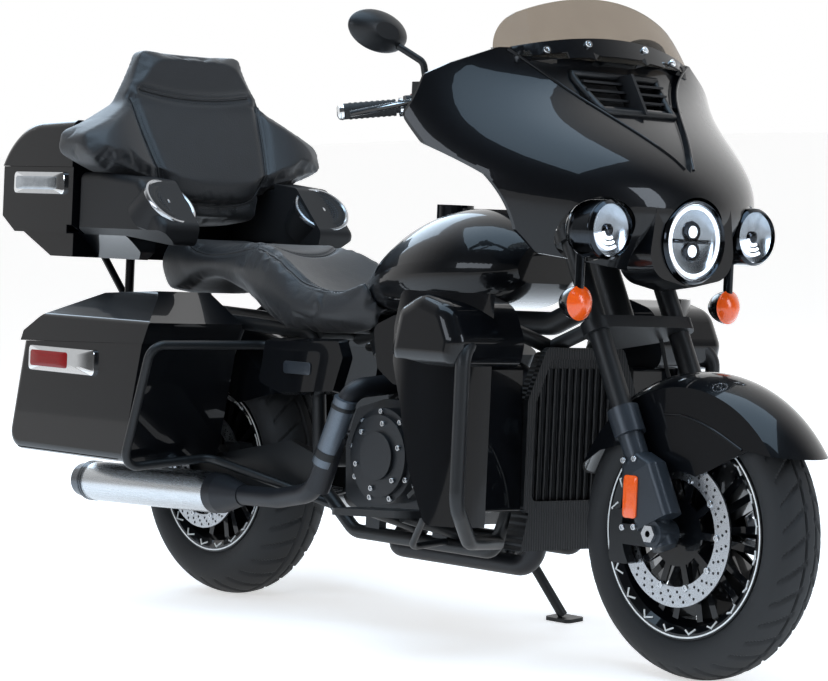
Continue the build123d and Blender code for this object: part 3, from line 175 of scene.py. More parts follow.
level = add_node(tree, "ShaderNodeMix", {"data_type": "FLOAT"}, {
    "Factor": ray.outputs["Is Camera Ray"], "A": room.outputs["Result"], "B": 1.0})
sky = tree.nodes["Background"]
sky.inputs["Color"].default_value = (1.0, 1.0, 1.0, 1.0)
tree.links.new(level.outputs["Result"], sky.inputs["Strength"])
print("sweep towards", SWEEP_DIR)

# %% [markdown]
# Large soft boxes draw the long highlights that show the curves of black paint. The big one overhead is a
# cool daylight colour, like the open sky that such machines are photographed under, a tall one stands at
# the front, a weak one fills the right side, and one high behind draws the lids and the top of the backrest
# out of the dark.

# %% Soft boxes
def soft_box(name, at, aim, size, watts, tint_hex):
    light = bpy.data.lights.new(name, "AREA")
    light.shape = "RECTANGLE"
    light.size, light.size_y = size
    light.energy = watts
    light.color = linear(tint_hex)[:3]
    box = bpy.data.objects.new(name, light)
    bpy.context.scene.collection.objects.link(box)
    box.location = at
    box.rotation_euler = (Vector(aim) - Vector(at)).to_track_quat("-Z", "Y").to_euler()
    return box


soft_box("sky_box", (0.5, -0.6, 4.2), (0.2, 0.0, 0.6), (4.5, 3.0), 170.0, "#bcd9f2")
soft_box("front_box", (4.6, 0.9, 2.2), (0.4, 0.0, 0.7), (1.0, 2.6), 60.0, "#e6f1ff")
soft_box("right_box", (0.2, -5.2, 2.4), (0.0, 0.0, 0.7), (3.6, 1.2), 70.0, "#eaf3ff")
soft_box("rear_box", (-4.4, 1.2, 3.6), (-0.6, 0.0, 0.7), (3.4, 2.6), 120.0, "#c6dff5")
bpy.context.scene.view_settings.view_transform = "Standard"
print("lights", [light.name for light in bpy.data.lights])

# %% [markdown]
# Every finish starts the same way: a Principled shader, and one noise read in Object coordinates that
# drifts the colour and the roughness a little, since no real surface is even. The size of the noise is the
# size of the real mark in millimetres, and a bump of the same noise gives the grain its height.

# %% One finish from its two tints, its roughness and its grain
def finish(name, tints, rough, grain_mm, bump=0.0, stretch=(1.0, 1.0, 1.0), **sockets):
    material = bpy.data.materials.new(name)
    material.use_nodes = True
    tree = material.node_tree
    shader = tree.nodes["Principled BSDF"]
    spot = add_node(tree, "ShaderNodeTexCoord").outputs["Object"]
    spread = add_node(tree, "ShaderNodeMapping", inputs={"Vector": spot, "Scale": stretch})
    grain = add_node(tree, "ShaderNodeTexNoise", inputs={
        "Vector": spread.outputs["Vector"], "Scale": 1000.0 / grain_mm, "Detail": 3.0})
    tint = add_node(tree, "ShaderNodeMix", {"data_type": "RGBA"}, {
        "Factor": grain.outputs["Fac"], "A": linear(tints[0]), "B": linear(tints[1])})
    wear = add_node(tree, "ShaderNodeMapRange", inputs={
        "Value": grain.outputs["Fac"], "To Min": rough[0], "To Max": rough[1]})
    tree.links.new(tint.outputs["Result"], shader.inputs["Base Color"])
    tree.links.new(wear.outputs["Result"], shader.inputs["Roughness"])
    if bump:
        relief = add_node(tree, "ShaderNodeBump", inputs={
            "Height": grain.outputs["Fac"], "Strength": bump, "Distance": grain_mm * 0.0004})
        tree.links.new(relief.outputs["Normal"], shader.inputs["Normal"])
    for label, value in sockets.items():
        shader.inputs[label.replace("_", " ")].default_value = value
    return material


MATS = {}
print("finish helper ready")

# %% [markdown]
# Paint and plastics. The body panels are two-layer paint: black base coat under clear lacquer, which is the
# Coat of the shader, with the faint orange peel that a spray gun leaves. Powder coat is baked on as dust
# and keeps a finer and duller skin, and moulded dash plastic has an etched grain. The lacquer's IOR is set
# low, so that the white floor mirrors only weakly in it and the panels stay as deep a black as in the
# photograph.

# %% Painted and moulded finishes
MATS["gloss_black"] = finish("lacquered_black_paint", ("#050608", "#090b0f"), (0.30, 0.36), 9.0, 0.012,
                             Specular_IOR_Level=0.08, Coat_Weight=1.0, Coat_Roughness=0.025, Coat_IOR=1.32)
MATS["gloss_plastic"] = finish("gloss_black_plastic", ("#08090b", "#0d0f12"), (0.10, 0.16), 14.0, 0.01,
                               Specular_IOR_Level=0.28)
MATS["satin_black"] = finish("black_powder_coat", ("#101113", "#17191b"), (0.36, 0.48), 2.0, 0.10,
                             Specular_IOR_Level=0.35)
MATS["satin_grey"] = finish("charcoal_satin_lacquer", ("#2b3036", "#353b42"), (0.30, 0.38), 3.0, 0.05,
                            Metallic=0.35)
MATS["dash_plastic"] = finish("etched_dash_plastic", ("#0c0d0f", "#151619"), (0.46, 0.60), 2.2, 0.22,
                              Specular_IOR_Level=0.35)
MATS["engine_black"] = finish("wrinkle_black_casting", ("#17191c", "#24272b"), (0.34, 0.50), 3.0, 0.20,
                              Metallic=0.25)
MATS["pipe_black"] = finish("ceramic_black_exhaust", ("#15161a", "#202227"), (0.38, 0.52), 4.0, 0.08,
                            Metallic=0.3)
MATS["shield_grey"] = finish("grey_heat_shield", ("#565d65", "#69717a"), (0.30, 0.42), 4.0, 0.05, Metallic=0.6)
MATS["white_line"] = finish("white_pinstripe_paint", ("#e9e9e6", "#f6f6f4"), (0.30, 0.40), 6.0)
MATS["orange_line"] = finish("orange_pinstripe_paint", ("#c65a1d", "#d96a26"), (0.25, 0.35), 6.0)
print(len(MATS), "painted finishes")

# %% [markdown]
# Bare and plated metal. Chrome is almost a mirror, so all it needs is a trace of polishing haze. The
# silencer is brushed along its length, which the noise copies by being stretched along X, and the discs are
# ground in rings.

# %% Metal finishes
MATS["chrome"] = finish("chrome_plate", ("#d6d9dc", "#e2e5e8"), (0.05, 0.10), 12.0, Metallic=1.0)
MATS["black_chrome"] = finish("black_chrome", ("#2a2d31", "#383c41"), (0.08, 0.16), 10.0, Metallic=1.0)
MATS["bright_steel"] = finish("polished_alloy", ("#a9acb0", "#c0c3c7"), (0.16, 0.26), 6.0, 0.03, Metallic=1.0)
MATS["zinc"] = finish("zinc_plated_steel", ("#b4b7bb", "#cfd2d5"), (0.18, 0.30), 3.0, 0.04, Metallic=1.0)
MATS["rotor_steel"] = finish("ground_disc_steel", ("#9da0a4", "#bfc2c6"), (0.22, 0.36), 3.0, 0.05,
                             Metallic=1.0)
MATS["muffler_steel"] = finish("brushed_stainless", ("#aeb2b6", "#d2d5d8"), (0.20, 0.34), 1.6, 0.06,
                               (0.03, 1.0, 1.0), Metallic=1.0)
MATS["pipe_steel"] = MATS["pipe_black"]
MATS["mirror_silver"] = finish("silvered_glass", ("#cdd3d8", "#d8dee3"), (0.01, 0.03), 40.0, Metallic=1.0)
print(len(MATS), "finishes with the metals")

# %% [markdown]
# Rubber, leather and the radiator. Tyre rubber is a dull charcoal with a powdery bloom. The leather gets a
# second pattern, Voronoi cells of 3 mm, because hide grain is made of small pads with creases between them.
# The radiator's fins are too fine to model, so a wave in its bump draws them.

# %% Rubber, leather, fins
MATS["tyre"] = finish("tyre_rubber", ("#121314", "#202123"), (0.62, 0.80), 5.0, 0.15)
MATS["rubber"] = finish("grip_rubber", ("#141516", "#1e1f20"), (0.60, 0.74), 2.5, 0.25)
MATS["leather"] = finish("black_seat_leather", ("#131416", "#1d1e21"), (0.40, 0.54), 30.0, Sheen_Weight=0.08)
MATS["thread"] = finish("grey_seat_thread", ("#2c2d30", "#3b3d40"), (0.6, 0.75), 1.5, 0.2)
tree = MATS["leather"].node_tree
pads = add_node(tree, "ShaderNodeTexVoronoi", {"feature": "SMOOTH_F1"}, {
    "Vector": add_node(tree, "ShaderNodeTexCoord").outputs["Object"], "Scale": 330.0})
crease = add_node(tree, "ShaderNodeBump", {"invert": True}, {
    "Height": pads.outputs["Distance"], "Strength": 0.28, "Distance": 0.0012})
tree.links.new(crease.outputs["Normal"], tree.nodes["Principled BSDF"].inputs["Normal"])
MATS["radiator_black"] = finish("radiator_core_black", ("#0d0e10", "#191b1e"), (0.40, 0.55), 4.0, Metallic=0.4)
tree = MATS["radiator_black"].node_tree
fins = add_node(tree, "ShaderNodeTexWave", {"bands_direction": "Y"}, {
    "Vector": add_node(tree, "ShaderNodeTexCoord").outputs["Object"], "Scale": 60.0, "Distortion": 0.4})
rows = add_node(tree, "ShaderNodeBump", inputs={
    "Height": fins.outputs["Fac"], "Strength": 0.8, "Distance": 0.003})
tree.links.new(rows.outputs["Normal"], tree.nodes["Principled BSDF"].inputs["Normal"])
print(len(MATS), "finishes with the soft ones")

# %% [markdown]
# Lenses and glass. The screen is tinted polycarbonate, the lamp covers are clear, and the turn lamps are
# moulded in coloured plastic with small prisms on the inside, drawn here as a bump of 4 mm cells. The LEDs
# give off light, and the amber lenses carry a faint painted glow although they are not lit.

# %% Lenses and lamps
MATS["smoked_glass"] = finish("smoked_polycarbonate", ("#8f857a", "#9a9084"), (0.01, 0.03), 60.0,
                              Transmission_Weight=0.96, IOR=1.1)
MATS["clear_glass"] = finish("clear_lamp_cover", ("#f1f5f8", "#fafcff"), (0.0, 0.01), 60.0,
                             Transmission_Weight=1.0, IOR=1.12)
# The amber finish has a faint emission: a painted glow, since the turn lamps are off and reflectors are no lamps.
MATS["amber_lens"] = finish("amber_lens_painted_glow", ("#e2480a", "#f4681a"), (0.12, 0.2), 4.0, 0.3,
                            Coat_Weight=0.5, Emission_Color=linear("#ff5a10"), Emission_Strength=0.10)
MATS["red_lens"] = finish("red_tail_lens", ("#6d0508", "#970b10"), (0.10, 0.18), 4.0, 0.25,
                          Specular_IOR_Level=0.3)
MATS["led_white"] = finish("white_led_strip", ("#f4f8ff", "#ffffff"), (0.3, 0.4), 4.0,
                           Emission_Color=linear("#f4f8ff"), Emission_Strength=1.6)
MATS["lamp_bowl"] = finish("vapour_chrome_bowl", ("#8d949b", "#b6bcc2"), (0.10, 0.22), 16.0, Metallic=1.0)
MATS["gauge_face"] = finish("dark_gauge_face", ("#0c0d10", "#16181b"), (0.3, 0.4), 5.0)
print(len(MATS), "finishes in all")

# %% [markdown]
# The record gives each CAD node a slot, and the slot its finish. Two lamps need a second finish inside one
# node: the turn lamps have a black housing behind the lens, and the silencer ends in a dark tip. Both are
# parted along X, which the lean does not turn, so the material itself can tell the two sides.

# %% Finishes for the CAD nodes
def parted(name, front, back, x_mm):
    material = front.copy()
    material.name = name
    tree = material.node_tree
    shader = tree.nodes["Principled BSDF"]
    spot = add_node(tree, "ShaderNodeTexCoord").outputs["Object"]
    along = add_node(tree, "ShaderNodeSeparateXYZ", inputs={0: spot})
    ahead_of = add_node(tree, "ShaderNodeMath", {"operation": "GREATER_THAN"}, {
        0: along.outputs["X"], 1: x_mm * 0.001 + SHIFT.x})
    was = shader.inputs["Base Color"].links[0].from_socket
    tint = add_node(tree, "ShaderNodeMix", {"data_type": "RGBA"}, {
        "Factor": ahead_of.outputs[0], "A": linear(back), "B": was})
    tree.links.new(tint.outputs["Result"], shader.inputs["Base Color"])
    # A lens's painted glow is kept to the part ahead of the cut.
    glow = shader.inputs["Emission Strength"].default_value
    if glow:
        shine = add_node(tree, "ShaderNodeMath", {"operation": "MULTIPLY"}, {0: ahead_of.outputs[0], 1: glow})
        tree.links.new(shine.outputs[0], shader.inputs["Emission Strength"])
    return material


own_finish = {
    "front_signals": parted("amber_lens_black_housing", MATS["amber_lens"], "#0b0c0d", 1482.0),
    "mufflers": parted("stainless_with_dark_tip", MATS["muffler_steel"], "#55595e", -287.0),
    "front_lamps": MATS["black_chrome"],
    "mirrors": MATS["satin_black"],
}
for entry in frame["record"]["subparts"]:
    mesh = nodes[entry["node"]].data
    mesh.materials.clear()
    mesh.materials.append(own_finish.get(entry["node"], MATS[entry["material_slot"]]))

# %% [markdown]
# The added pieces come from four ways of shaping: turned on a lathe, swept along a path, cut as a plate and
# grown by Geometry Nodes. Each gives points and faces in upright millimetres, and one function puts them in
# the leaned frame, merges what touches, turns the faces outwards and lets the piece ride on the body that
# carries it.

# %% Turned and swept shapes
def band(a, b, count):
    return [(a + k, a + (k + 1) % count, b + (k + 1) % count, b + k) for k in range(count)]


def turned(profile, at, axis, steps=64):
    axis = Vector(axis).normalized()
    across = axis.orthogonal().normalized()
    up = axis.cross(across)
    points, faces, count = [], [], len(profile)
    for i in range(steps):
        angle = 2.0 * math.pi * i / steps
        out = across * math.cos(angle) + up * math.sin(angle)
        points += [Vector(at) + axis * h + out * r for r, h in profile]
        for k in range(count - 1):
            a, b = i * count + k, ((i + 1) % steps) * count + k
            faces.append((a, b, b + 1, a + 1))
    return points, faces


def eased(path, per=8):
    path = [Vector(p) for p in path]
    ends = [2 * path[0] - path[1]] + path + [2 * path[-1] - path[-2]]
    line = []
    for i in range(1, len(ends) - 2):
        a, b, c, d = ends[i - 1:i + 3]
        for k in range(per):
            t = k / per
            line.append(0.5 * (2 * b + (c - a) * t + (2 * a - 5 * b + 4 * c - d) * t * t
                               + (3 * b - a - 3 * c + d) * t ** 3))
    return line + [path[-1]]


def swept(path, radius, sides=10, loop=False, flat=1.0, hint=None):
    path = [Vector(p) for p in path]
    count, points, faces = len(path), [], []
    across = None
    for i, here in enumerate(path):
        ahead_at = path[(i + 1) % count] if loop or i < count - 1 else here
        behind_at = path[i - 1] if loop or i else here
        along = (ahead_at - behind_at).normalized()
        across = Vector(hint) if hint else (across or along.orthogonal())
        across = (across - along * across.dot(along)).normalized()
        up = along.cross(across)
        for k in range(sides):
            angle = 2.0 * math.pi * k / sides
            points.append(here + radius * (across * math.cos(angle) * flat + up * math.sin(angle)))
    for i in range(count if loop else count - 1):
        faces += band(i * sides, ((i + 1) % count) * sides, sides)
    if not loop:
        faces += [tuple(range(sides)), tuple(range((count - 1) * sides, count * sides))]
    return points, faces


print("turned(), eased() and swept() ready")

# %% Plates and mirrored copies
def plate(outline, at, u_dir, v_dir, thick, crown=0.0):
    u_dir, v_dir = Vector(u_dir).normalized(), Vector(v_dir).normalized()
    out = u_dir.cross(v_dir)
    count = len(outline)
    mid = (sum(p[0] for p in outline) / count, sum(p[1] for p in outline) / count)
    rows = [(1.0, 0.0), (1.0, thick * 0.7), (0.96, thick), (0.5, thick + crown * 0.75), (0.0, thick + crown)]
    points, faces = [], []
    for grow, height in rows:
        for u, v in outline:
            points.append(Vector(at) + u_dir * (mid[0] + (u - mid[0]) * grow)
                          + v_dir * (mid[1] + (v - mid[1]) * grow) + out * height)
    for r in range(len(rows) - 1):
        faces += band(r * count, (r + 1) * count, count)
    faces.append(tuple(range(count)))
    return points, faces


def rounded(width, height, radius, per=5):
    outline = []
    for cx, cy, start in ((1, 1, 0), (-1, 1, 90), (-1, -1, 180), (1, -1, 270)):
        for k in range(per + 1):
            angle = math.radians(start + 90.0 * k / per)
            outline.append((cx * (width / 2 - radius) + radius * math.cos(angle),
                            cy * (height / 2 - radius) + radius * math.sin(angle)))
    return outline


def mirrored(shape):
    points, faces = shape
    return [Vector((p[0], -p[1], p[2])) for p in points], [tuple(reversed(face)) for face in faces]


def both(shapes):
    return shapes + [mirrored(shape) for shape in shapes]


print("plate(), rounded() and both() ready")

# %% Putting a piece in the frame
def clean(mesh, reach, sliver=0.0, shrink=0.0):
    work = bmesh.new()
    work.from_mesh(mesh)
    bmesh.ops.remove_doubles(work, verts=work.verts, dist=reach)
    if sliver:
        bmesh.ops.dissolve_degenerate(work, edges=work.edges, dist=sliver)
    bmesh.ops.recalc_face_normals(work, faces=work.faces)
    if shrink:
        for vert in work.verts:
            vert.co -= vert.normal * shrink
    work.to_mesh(mesh)
    work.free()


def put(name, mesh, material, body, sharp=38.0):
    for face in mesh.polygons:
        face.use_smooth = True
    mesh.set_sharp_from_angle(angle=math.radians(sharp))
    mesh.materials.clear()
    mesh.materials.append(material)
    thing = bpy.data.objects.new(name, mesh)
    bpy.context.scene.collection.objects.link(thing)
    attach(thing, body)
    return thing


def piece(name, shapes, material, body, sharp=38.0):
    points, faces = [], []
    for shape_points, shape_faces in shapes:
        start = len(points)
        points += [placed(p) for p in shape_points]
        faces += [tuple(start + k for k in face) for face in shape_faces]
    mesh = bpy.data.meshes.new(name)
    mesh.from_pydata(points, [], faces)
    clean(mesh, 1e-6, sliver=1e-7)
    return put(name, mesh, material, body, sharp)


print("piece() ready")

# %% [markdown]
# What repeats is grown by Geometry Nodes: one tree lays a small shape on every point of a mesh and turns it
# to the "facing" attribute of the point. Its inputs are named, and they are set on the modifier before it
# is first run.

# %% Growing a mesh with a node tree
def new_tree(name, sockets):
    tree = bpy.data.node_groups.new(name, "GeometryNodeTree")
    tree.interface.new_socket("Geometry", in_out="INPUT", socket_type="NodeSocketGeometry")
    for label, kind in sockets:
        tree.interface.new_socket(label, in_out="INPUT", socket_type=kind)
    tree.interface.new_socket("Geometry", in_out="OUTPUT", socket_type="NodeSocketGeometry")
    return tree, add_node(tree, "NodeGroupInput"), add_node(tree, "NodeGroupOutput")


def close_tree(tree, geometry, source, sink):
    real = add_node(tree, "GeometryNodeRealizeInstances", inputs={"Geometry": geometry})
    coloured = add_node(tree, "GeometryNodeSetMaterial", inputs={
        "Geometry": real.outputs["Geometry"], "Material": source.outputs["Finish"]})
    tree.links.new(coloured.outputs["Geometry"], sink.inputs["Geometry"])


def grown(name, tree, mesh, values):
    holder = bpy.data.objects.new(name + "_seed", mesh)
    bpy.context.scene.collection.objects.link(holder)
    modifier = holder.modifiers.new("grow", "NODES")
    modifier.node_group = tree
    for item in tree.interface.items_tree:
        if item.item_type == "SOCKET" and item.in_out == "INPUT" and item.name in values:
            modifier[item.identifier] = values[item.name]
    holder.update_tag()
    bpy.context.view_layer.update()
    result = holder.evaluated_get(bpy.context.evaluated_depsgraph_get())
    made = bpy.data.meshes.new_from_object(result)
    holder.modifiers.remove(modifier)
    bpy.data.objects.remove(holder)
    return made


print("tree functions ready")

# %% A tree that lays one shape on many points
scatter, source, sink = new_tree("lay_on_points", [
    ("Shape", "NodeSocketObject"), ("Finish", "NodeSocketMaterial")])
facing = add_node(scatter, "GeometryNodeInputNamedAttribute", {"data_type": "FLOAT_VECTOR"}, {"Name": "facing"})
aim = add_node(scatter, "FunctionNodeAlignRotationToVector", {"axis": "Z"}, {
    "Vector": facing.outputs["Attribute"]})
sample = add_node(scatter, "GeometryNodeObjectInfo", {"transform_space": "ORIGINAL"}, {
    "Object": source.outputs["Shape"], "As Instance": True})
laid = add_node(scatter, "GeometryNodeInstanceOnPoints", inputs={
    "Points": source.outputs["Geometry"], "Instance": sample.outputs["Geometry"],
    "Rotation": aim.outputs["Rotation"]})
close_tree(scatter, laid.outputs["Instances"], source, sink)


def lay(name, shape, spots, material, body):
    points, faces = shape
    sample_mesh = bpy.data.meshes.new(name + "_one")
    sample_mesh.from_pydata([Vector(p) * 0.001 for p in points], [], faces)
    clean(sample_mesh, 1e-6)
    one = bpy.data.objects.new(name + "_one", sample_mesh)
    bpy.context.scene.collection.objects.link(one)
    seed = bpy.data.meshes.new(name + "_points")
    seed.from_pydata([placed(at) for at, _ in spots], [], [])
    where = seed.attributes.new("facing", "FLOAT_VECTOR", "POINT")
    for i, (_, towards) in enumerate(spots):
        where.data[i].vector = TURN @ Vector(towards)
    made = grown(name, scatter, seed, {"Shape": one, "Finish": material})
    bpy.data.objects.remove(one)
    return put(name, made, material, body)


def bolt_head(radius, height):
    return turned([(0.0, height * 0.55), (radius * 0.45, height * 0.55), (radius * 0.52, height),
                   (radius * 0.9, height), (radius, height * 0.8), (radius, -0.4), (0.0, -0.4)],
                  (0, 0, 0), (0, 0, 1), 14)


print("point tree ready")

# %% [markdown]
# Tyres. The CAD tyre is a smooth ring, and a real touring tyre has curved grooves that run from the middle
# to the shoulders, so that water finds its way out. We build the ring again from its profile as a fine grid
# and sink the grid where a groove passes, which keeps the mesh closed and cheap. The new tyre replaces the
# CAD one.

# %% Treaded tyres
RADIUS, FRONT_X, REAR_X = 320.0, 1650.0, 0.0
WALL_STEPS, CROWN_STEPS, PITCH_STEPS = 12, 64, 12
GROOVE_MM, SKIN_MM, BEAD_MM = 5.0, 11.0, 16.0
# A wheel is its axle's X, the radius of the rim's lip, half the rim's width and its body.
FRONT = (FRONT_X, 231.0, 58.0, "front_wheel")
REAR = (REAR_X, 212.0, 75.0, "rear_wheel")


def arc_through(a, b, c, count):
    (ax, ay), (bx, by), (cx, cy) = a, b, c
    d = 2 * (ax * (by - cy) + bx * (cy - ay) + cx * (ay - by))
    a2, b2, c2 = ax * ax + ay * ay, bx * bx + by * by, cx * cx + cy * cy
    ux = (a2 * (by - cy) + b2 * (cy - ay) + c2 * (ay - by)) / d
    uy = (a2 * (cx - bx) + b2 * (ax - cx) + c2 * (bx - ax)) / d
    r = math.hypot(ax - ux, ay - uy)
    turns = [math.atan2(y - uy, x - ux) for x, y in (a, b, c)]
    for i in (1, 2):
        while turns[i] - turns[i - 1] > math.pi:
            turns[i] -= 2 * math.pi
        while turns[i] - turns[i - 1] < -math.pi:
            turns[i] += 2 * math.pi
    steps = [turns[0] + (turns[2] - turns[0]) * k / count for k in range(count + 1)]
    return [(ux + r * math.cos(t), uy + r * math.sin(t)) for t in steps]


def treaded(name, x_at, lip_r, half, body, width, node, pitch_count):
    bead, wide = half - 4.0, width / 2
    mid_r, edge, edge_r = lip_r + 0.42 * (RADIUS - lip_r), wide - 9.0, RADIUS - 0.36 * width * 0.62
    side_wall = arc_through((bead, lip_r + 1), (wide, mid_r), (edge, edge_r), WALL_STEPS)
    crown = arc_through((edge, edge_r), (0, RADIUS), (-edge, edge_r), CROWN_STEPS)
    inner = arc_through((SKIN_MM - edge, edge_r - SKIN_MM), (0, RADIUS - SKIN_MM),
                        (edge - SKIN_MM, edge_r - SKIN_MM), WALL_STEPS)
    foot = lip_r - BEAD_MM
    ring = ([(bead, foot)] + side_wall[:-1] + crown + [(-y, r) for y, r in reversed(side_wall[:-1])]
            + [(-bead, foot), (SKIN_MM - bead, foot)] + inner + [(bead - SKIN_MM, foot)])
    first, last = 1 + WALL_STEPS, 1 + WALL_STEPS + CROWN_STEPS
    steps = PITCH_STEPS * pitch_count
    count = len(ring)
    turn = np.arange(steps)[:, None] * 2 * math.pi / steps
    across = np.array([p[0] for p in ring])[None, :]
    rise = np.array([p[1] for p in ring])[None, :]
    share = across / edge
    lead = np.abs(share) ** 1.4 * 0.9
    phase = (turn / (2 * math.pi) * pitch_count + lead * 1.1 + np.where(share > 0, 0.5, 0.0)) % 1.0
    groove = np.clip(1.0 - np.abs(phase - 0.5) / 0.11, 0.0, 0.5) * 2.0
    groove *= np.clip((np.abs(share) - 0.10) / 0.05, 0.0, 1.0)
    groove *= np.clip((1.0 - np.abs(share)) / 0.06, 0.0, 1.0)
    middle = np.clip(1.0 - np.abs(np.abs(across) - 14.0) / 3.4, 0.0, 0.5) * 2.0
    sunk = np.zeros((steps, count))
    inside = slice(first, last + 1)
    sunk[:, inside] = GROOVE_MM * np.maximum(groove, middle * np.ones_like(turn))[:, inside]
    radius = rise - sunk
    points = np.stack([x_at + radius * np.cos(turn), across * np.ones_like(turn),
                       RADIUS + radius * np.sin(turn)], -1)
    points = points.reshape(-1, 3)
    faces = [face for i in range(steps) for face in band(i * count, ((i + 1) % steps) * count, count)]
    tyre = piece(name, [(points.tolist(), faces)], MATS["tyre"], body, 30.0)
    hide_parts(node)
    return tyre


front_tread = treaded("front_tread", *FRONT, 135.0, "front_tyre", 34)
rear_tread = treaded("rear_tread", *REAR, 176.0, "rear_tyre", 32)
print("tread faces", len(front_tread.data.polygons), len(rear_tread.data.polygons))

# %% [markdown]
# Brake discs are drilled so that they cool and shed water. The disc is grown in Geometry Nodes the way a
# laser cutter would make it: circles for the rim, the bore and three rings of holes, filled as one sheet
# and given its thickness.

# %% Drilled brake discs
DISC_T, BOBBIN_R = 5.0, 121.0
drilled, source, sink = new_tree("drilled_disc", [
    ("Outer", "NodeSocketFloat"), ("Inner", "NodeSocketFloat"), ("Thick", "NodeSocketFloat"),
    ("Hole", "NodeSocketFloat"), ("Count", "NodeSocketInt"), ("Finish", "NodeSocketMaterial")])
circles = [add_node(drilled, "GeometryNodeCurvePrimitiveCircle", inputs={
    "Resolution": 120, "Radius": source.outputs[edge]}) for edge in ("Outer", "Inner")]
hole = add_node(drilled, "GeometryNodeCurvePrimitiveCircle", inputs={
    "Resolution": 10, "Radius": source.outputs["Hole"]})
everything = add_node(drilled, "GeometryNodeJoinGeometry")
for circle in circles:
    drilled.links.new(circle.outputs["Curve"], everything.inputs["Geometry"])
for ring_share, ring_turn in ((0.24, 0.0), (0.5, 0.06), (0.76, 0.12)):
    ring_r = add_node(drilled, "ShaderNodeMix", {"data_type": "FLOAT"}, {
        "Factor": ring_share, "A": source.outputs["Inner"], "B": source.outputs["Outer"]})
    ring = add_node(drilled, "GeometryNodeMeshCircle", inputs={
        "Vertices": source.outputs["Count"], "Radius": ring_r.outputs["Result"]})
    turned_ring = add_node(drilled, "GeometryNodeTransform", inputs={
        "Geometry": ring.outputs["Mesh"], "Rotation": (0.0, 0.0, ring_turn)})
    holes = add_node(drilled, "GeometryNodeInstanceOnPoints", inputs={
        "Points": turned_ring.outputs["Geometry"], "Instance": hole.outputs["Curve"]})
    real = add_node(drilled, "GeometryNodeRealizeInstances", inputs={"Geometry": holes.outputs["Instances"]})
    drilled.links.new(real.outputs["Geometry"], everything.inputs["Geometry"])
sheet = add_node(drilled, "GeometryNodeFillCurve", inputs={"Curve": everything.outputs["Geometry"]})
raised = add_node(drilled, "GeometryNodeExtrudeMesh", inputs={
    "Mesh": sheet.outputs["Mesh"], "Offset": (0.0, 0.0, 1.0), "Offset Scale": source.outputs["Thick"],
    "Individual": False})
under = add_node(drilled, "GeometryNodeFlipFaces", inputs={"Mesh": sheet.outputs["Mesh"]})
closed = add_node(drilled, "GeometryNodeJoinGeometry")
drilled.links.new(raised.outputs["Mesh"], closed.inputs["Geometry"])
drilled.links.new(under.outputs["Mesh"], closed.inputs["Geometry"])
welded = add_node(drilled, "GeometryNodeMergeByDistance", inputs={
    "Geometry": closed.outputs["Geometry"], "Distance": 0.00005})
close_tree(drilled, welded.outputs["Geometry"], source, sink)


def brake_disc(name, x_at, y_list, outer, body, node):
    joined = bmesh.new()
    for y_mid in y_list:
        disc = grown(name, drilled, bpy.data.meshes.new(name + "_seed"), {
            "Outer": outer / 1000, "Inner": 0.116, "Thick": DISC_T / 1000, "Hole": 0.0034, "Count": 30,
            "Finish": MATS["rotor_steel"]})
        stand_up = Matrix.Translation((x_at, y_mid + DISC_T / 2, RADIUS)) @ Matrix.Rotation(math.pi / 2, 4, "X")
        disc.transform(PLACE @ stand_up @ Matrix.Scale(1000.0, 4))
        joined.from_mesh(disc)
    bmesh.ops.recalc_face_normals(joined, faces=joined.faces)
    mesh = bpy.data.meshes.new(name)
    joined.to_mesh(mesh)
    joined.free()
    disc_piece = put(name, mesh, MATS["rotor_steel"], body, 30.0)
    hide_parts(node)
    spots = []
    for y_mid in y_list:
        for k in range(10):
            angle = math.radians(36.0 * k)
            for face in (1, -1):
                at = (x_at + BOBBIN_R * math.cos(angle), y_mid + face * 2.4, RADIUS + BOBBIN_R * math.sin(angle))
                spots.append((at, (0, face, 0)))
    lay(name + "_bobbins", bolt_head(7.5, 3.2), spots, MATS["zinc"], body)
    return disc_piece


front_discs = brake_disc("front_discs", FRONT_X, (76.0, -76.0), 160.0, "front_wheel", "front_rotors")
rear_disc = brake_disc("rear_disc", REAR_X, (-101.0,), 150.0, "rear_wheel", "rear_rotor")
print("disc faces", len(front_discs.data.polygons), len(rear_disc.data.polygons))

# %% [markdown]
# The wheels carry a thin white line around the rim and a small white mark on each spoke end. They are
# paint, a fraction of a millimetre proud of the rim, so a flat ring and short flat marks on the rim's lip
# are enough.

# %% Rim lines and marks
MARKS = 20


def rim_lines(name, x_at, lip_r, half, body):
    lines = []
    for face in (1, -1):
        y = face * (half + 0.3)
        lines.append(turned([(lip_r - 7.0, -0.4), (lip_r - 7.0, 0.2), (lip_r - 3.5, 0.2), (lip_r - 3.5, -0.4),
                             (lip_r - 7.0, -0.4)], (x_at, y, RADIUS), (0, face, 0), 96))
    return piece(name, lines, MATS["white_line"], body, 30.0)


rim_lines("front_rim_line", *FRONT)
rim_lines("rear_rim_line", *REAR)


def rim_marks(name, x_at, lip_r, half, body):
    mark = swept([(-15, -2, 0.6), (0, 10, 0.6), (15, -2, 0.6)], 2.6, 4)
    slope = math.atan2(12.0, 16.0)
    points, faces = [], []
    for face in (1, -1):
        for k in range(MARKS):
            angle = 2.0 * math.pi * (k + 0.5) / MARKS
            out = Vector((math.cos(angle), 0, math.sin(angle)))
            along = Vector((-math.sin(angle), 0, math.cos(angle)))
            mid = Vector((x_at, face * (half - 6.0), RADIUS)) + out * (lip_r - 20.0)
            tip = (out * math.cos(slope) + Vector((0, face * math.sin(slope), 0)))
            skin = Vector((0, face * math.cos(slope), 0)) - out * math.sin(slope)
            for p in mark[0]:
                points.append(mid + along * p[0] + tip * p[1] + skin * p[2])
            start = len(points) - len(mark[0])
            faces += [tuple(start + i for i in f) for f in mark[1]]
    return piece(name, [(points, faces)], MATS["white_line"], body, 30.0)


rim_marks("front_rim_marks", *FRONT)
rim_marks("rear_rim_marks", *REAR)
print("rim lines and marks made")

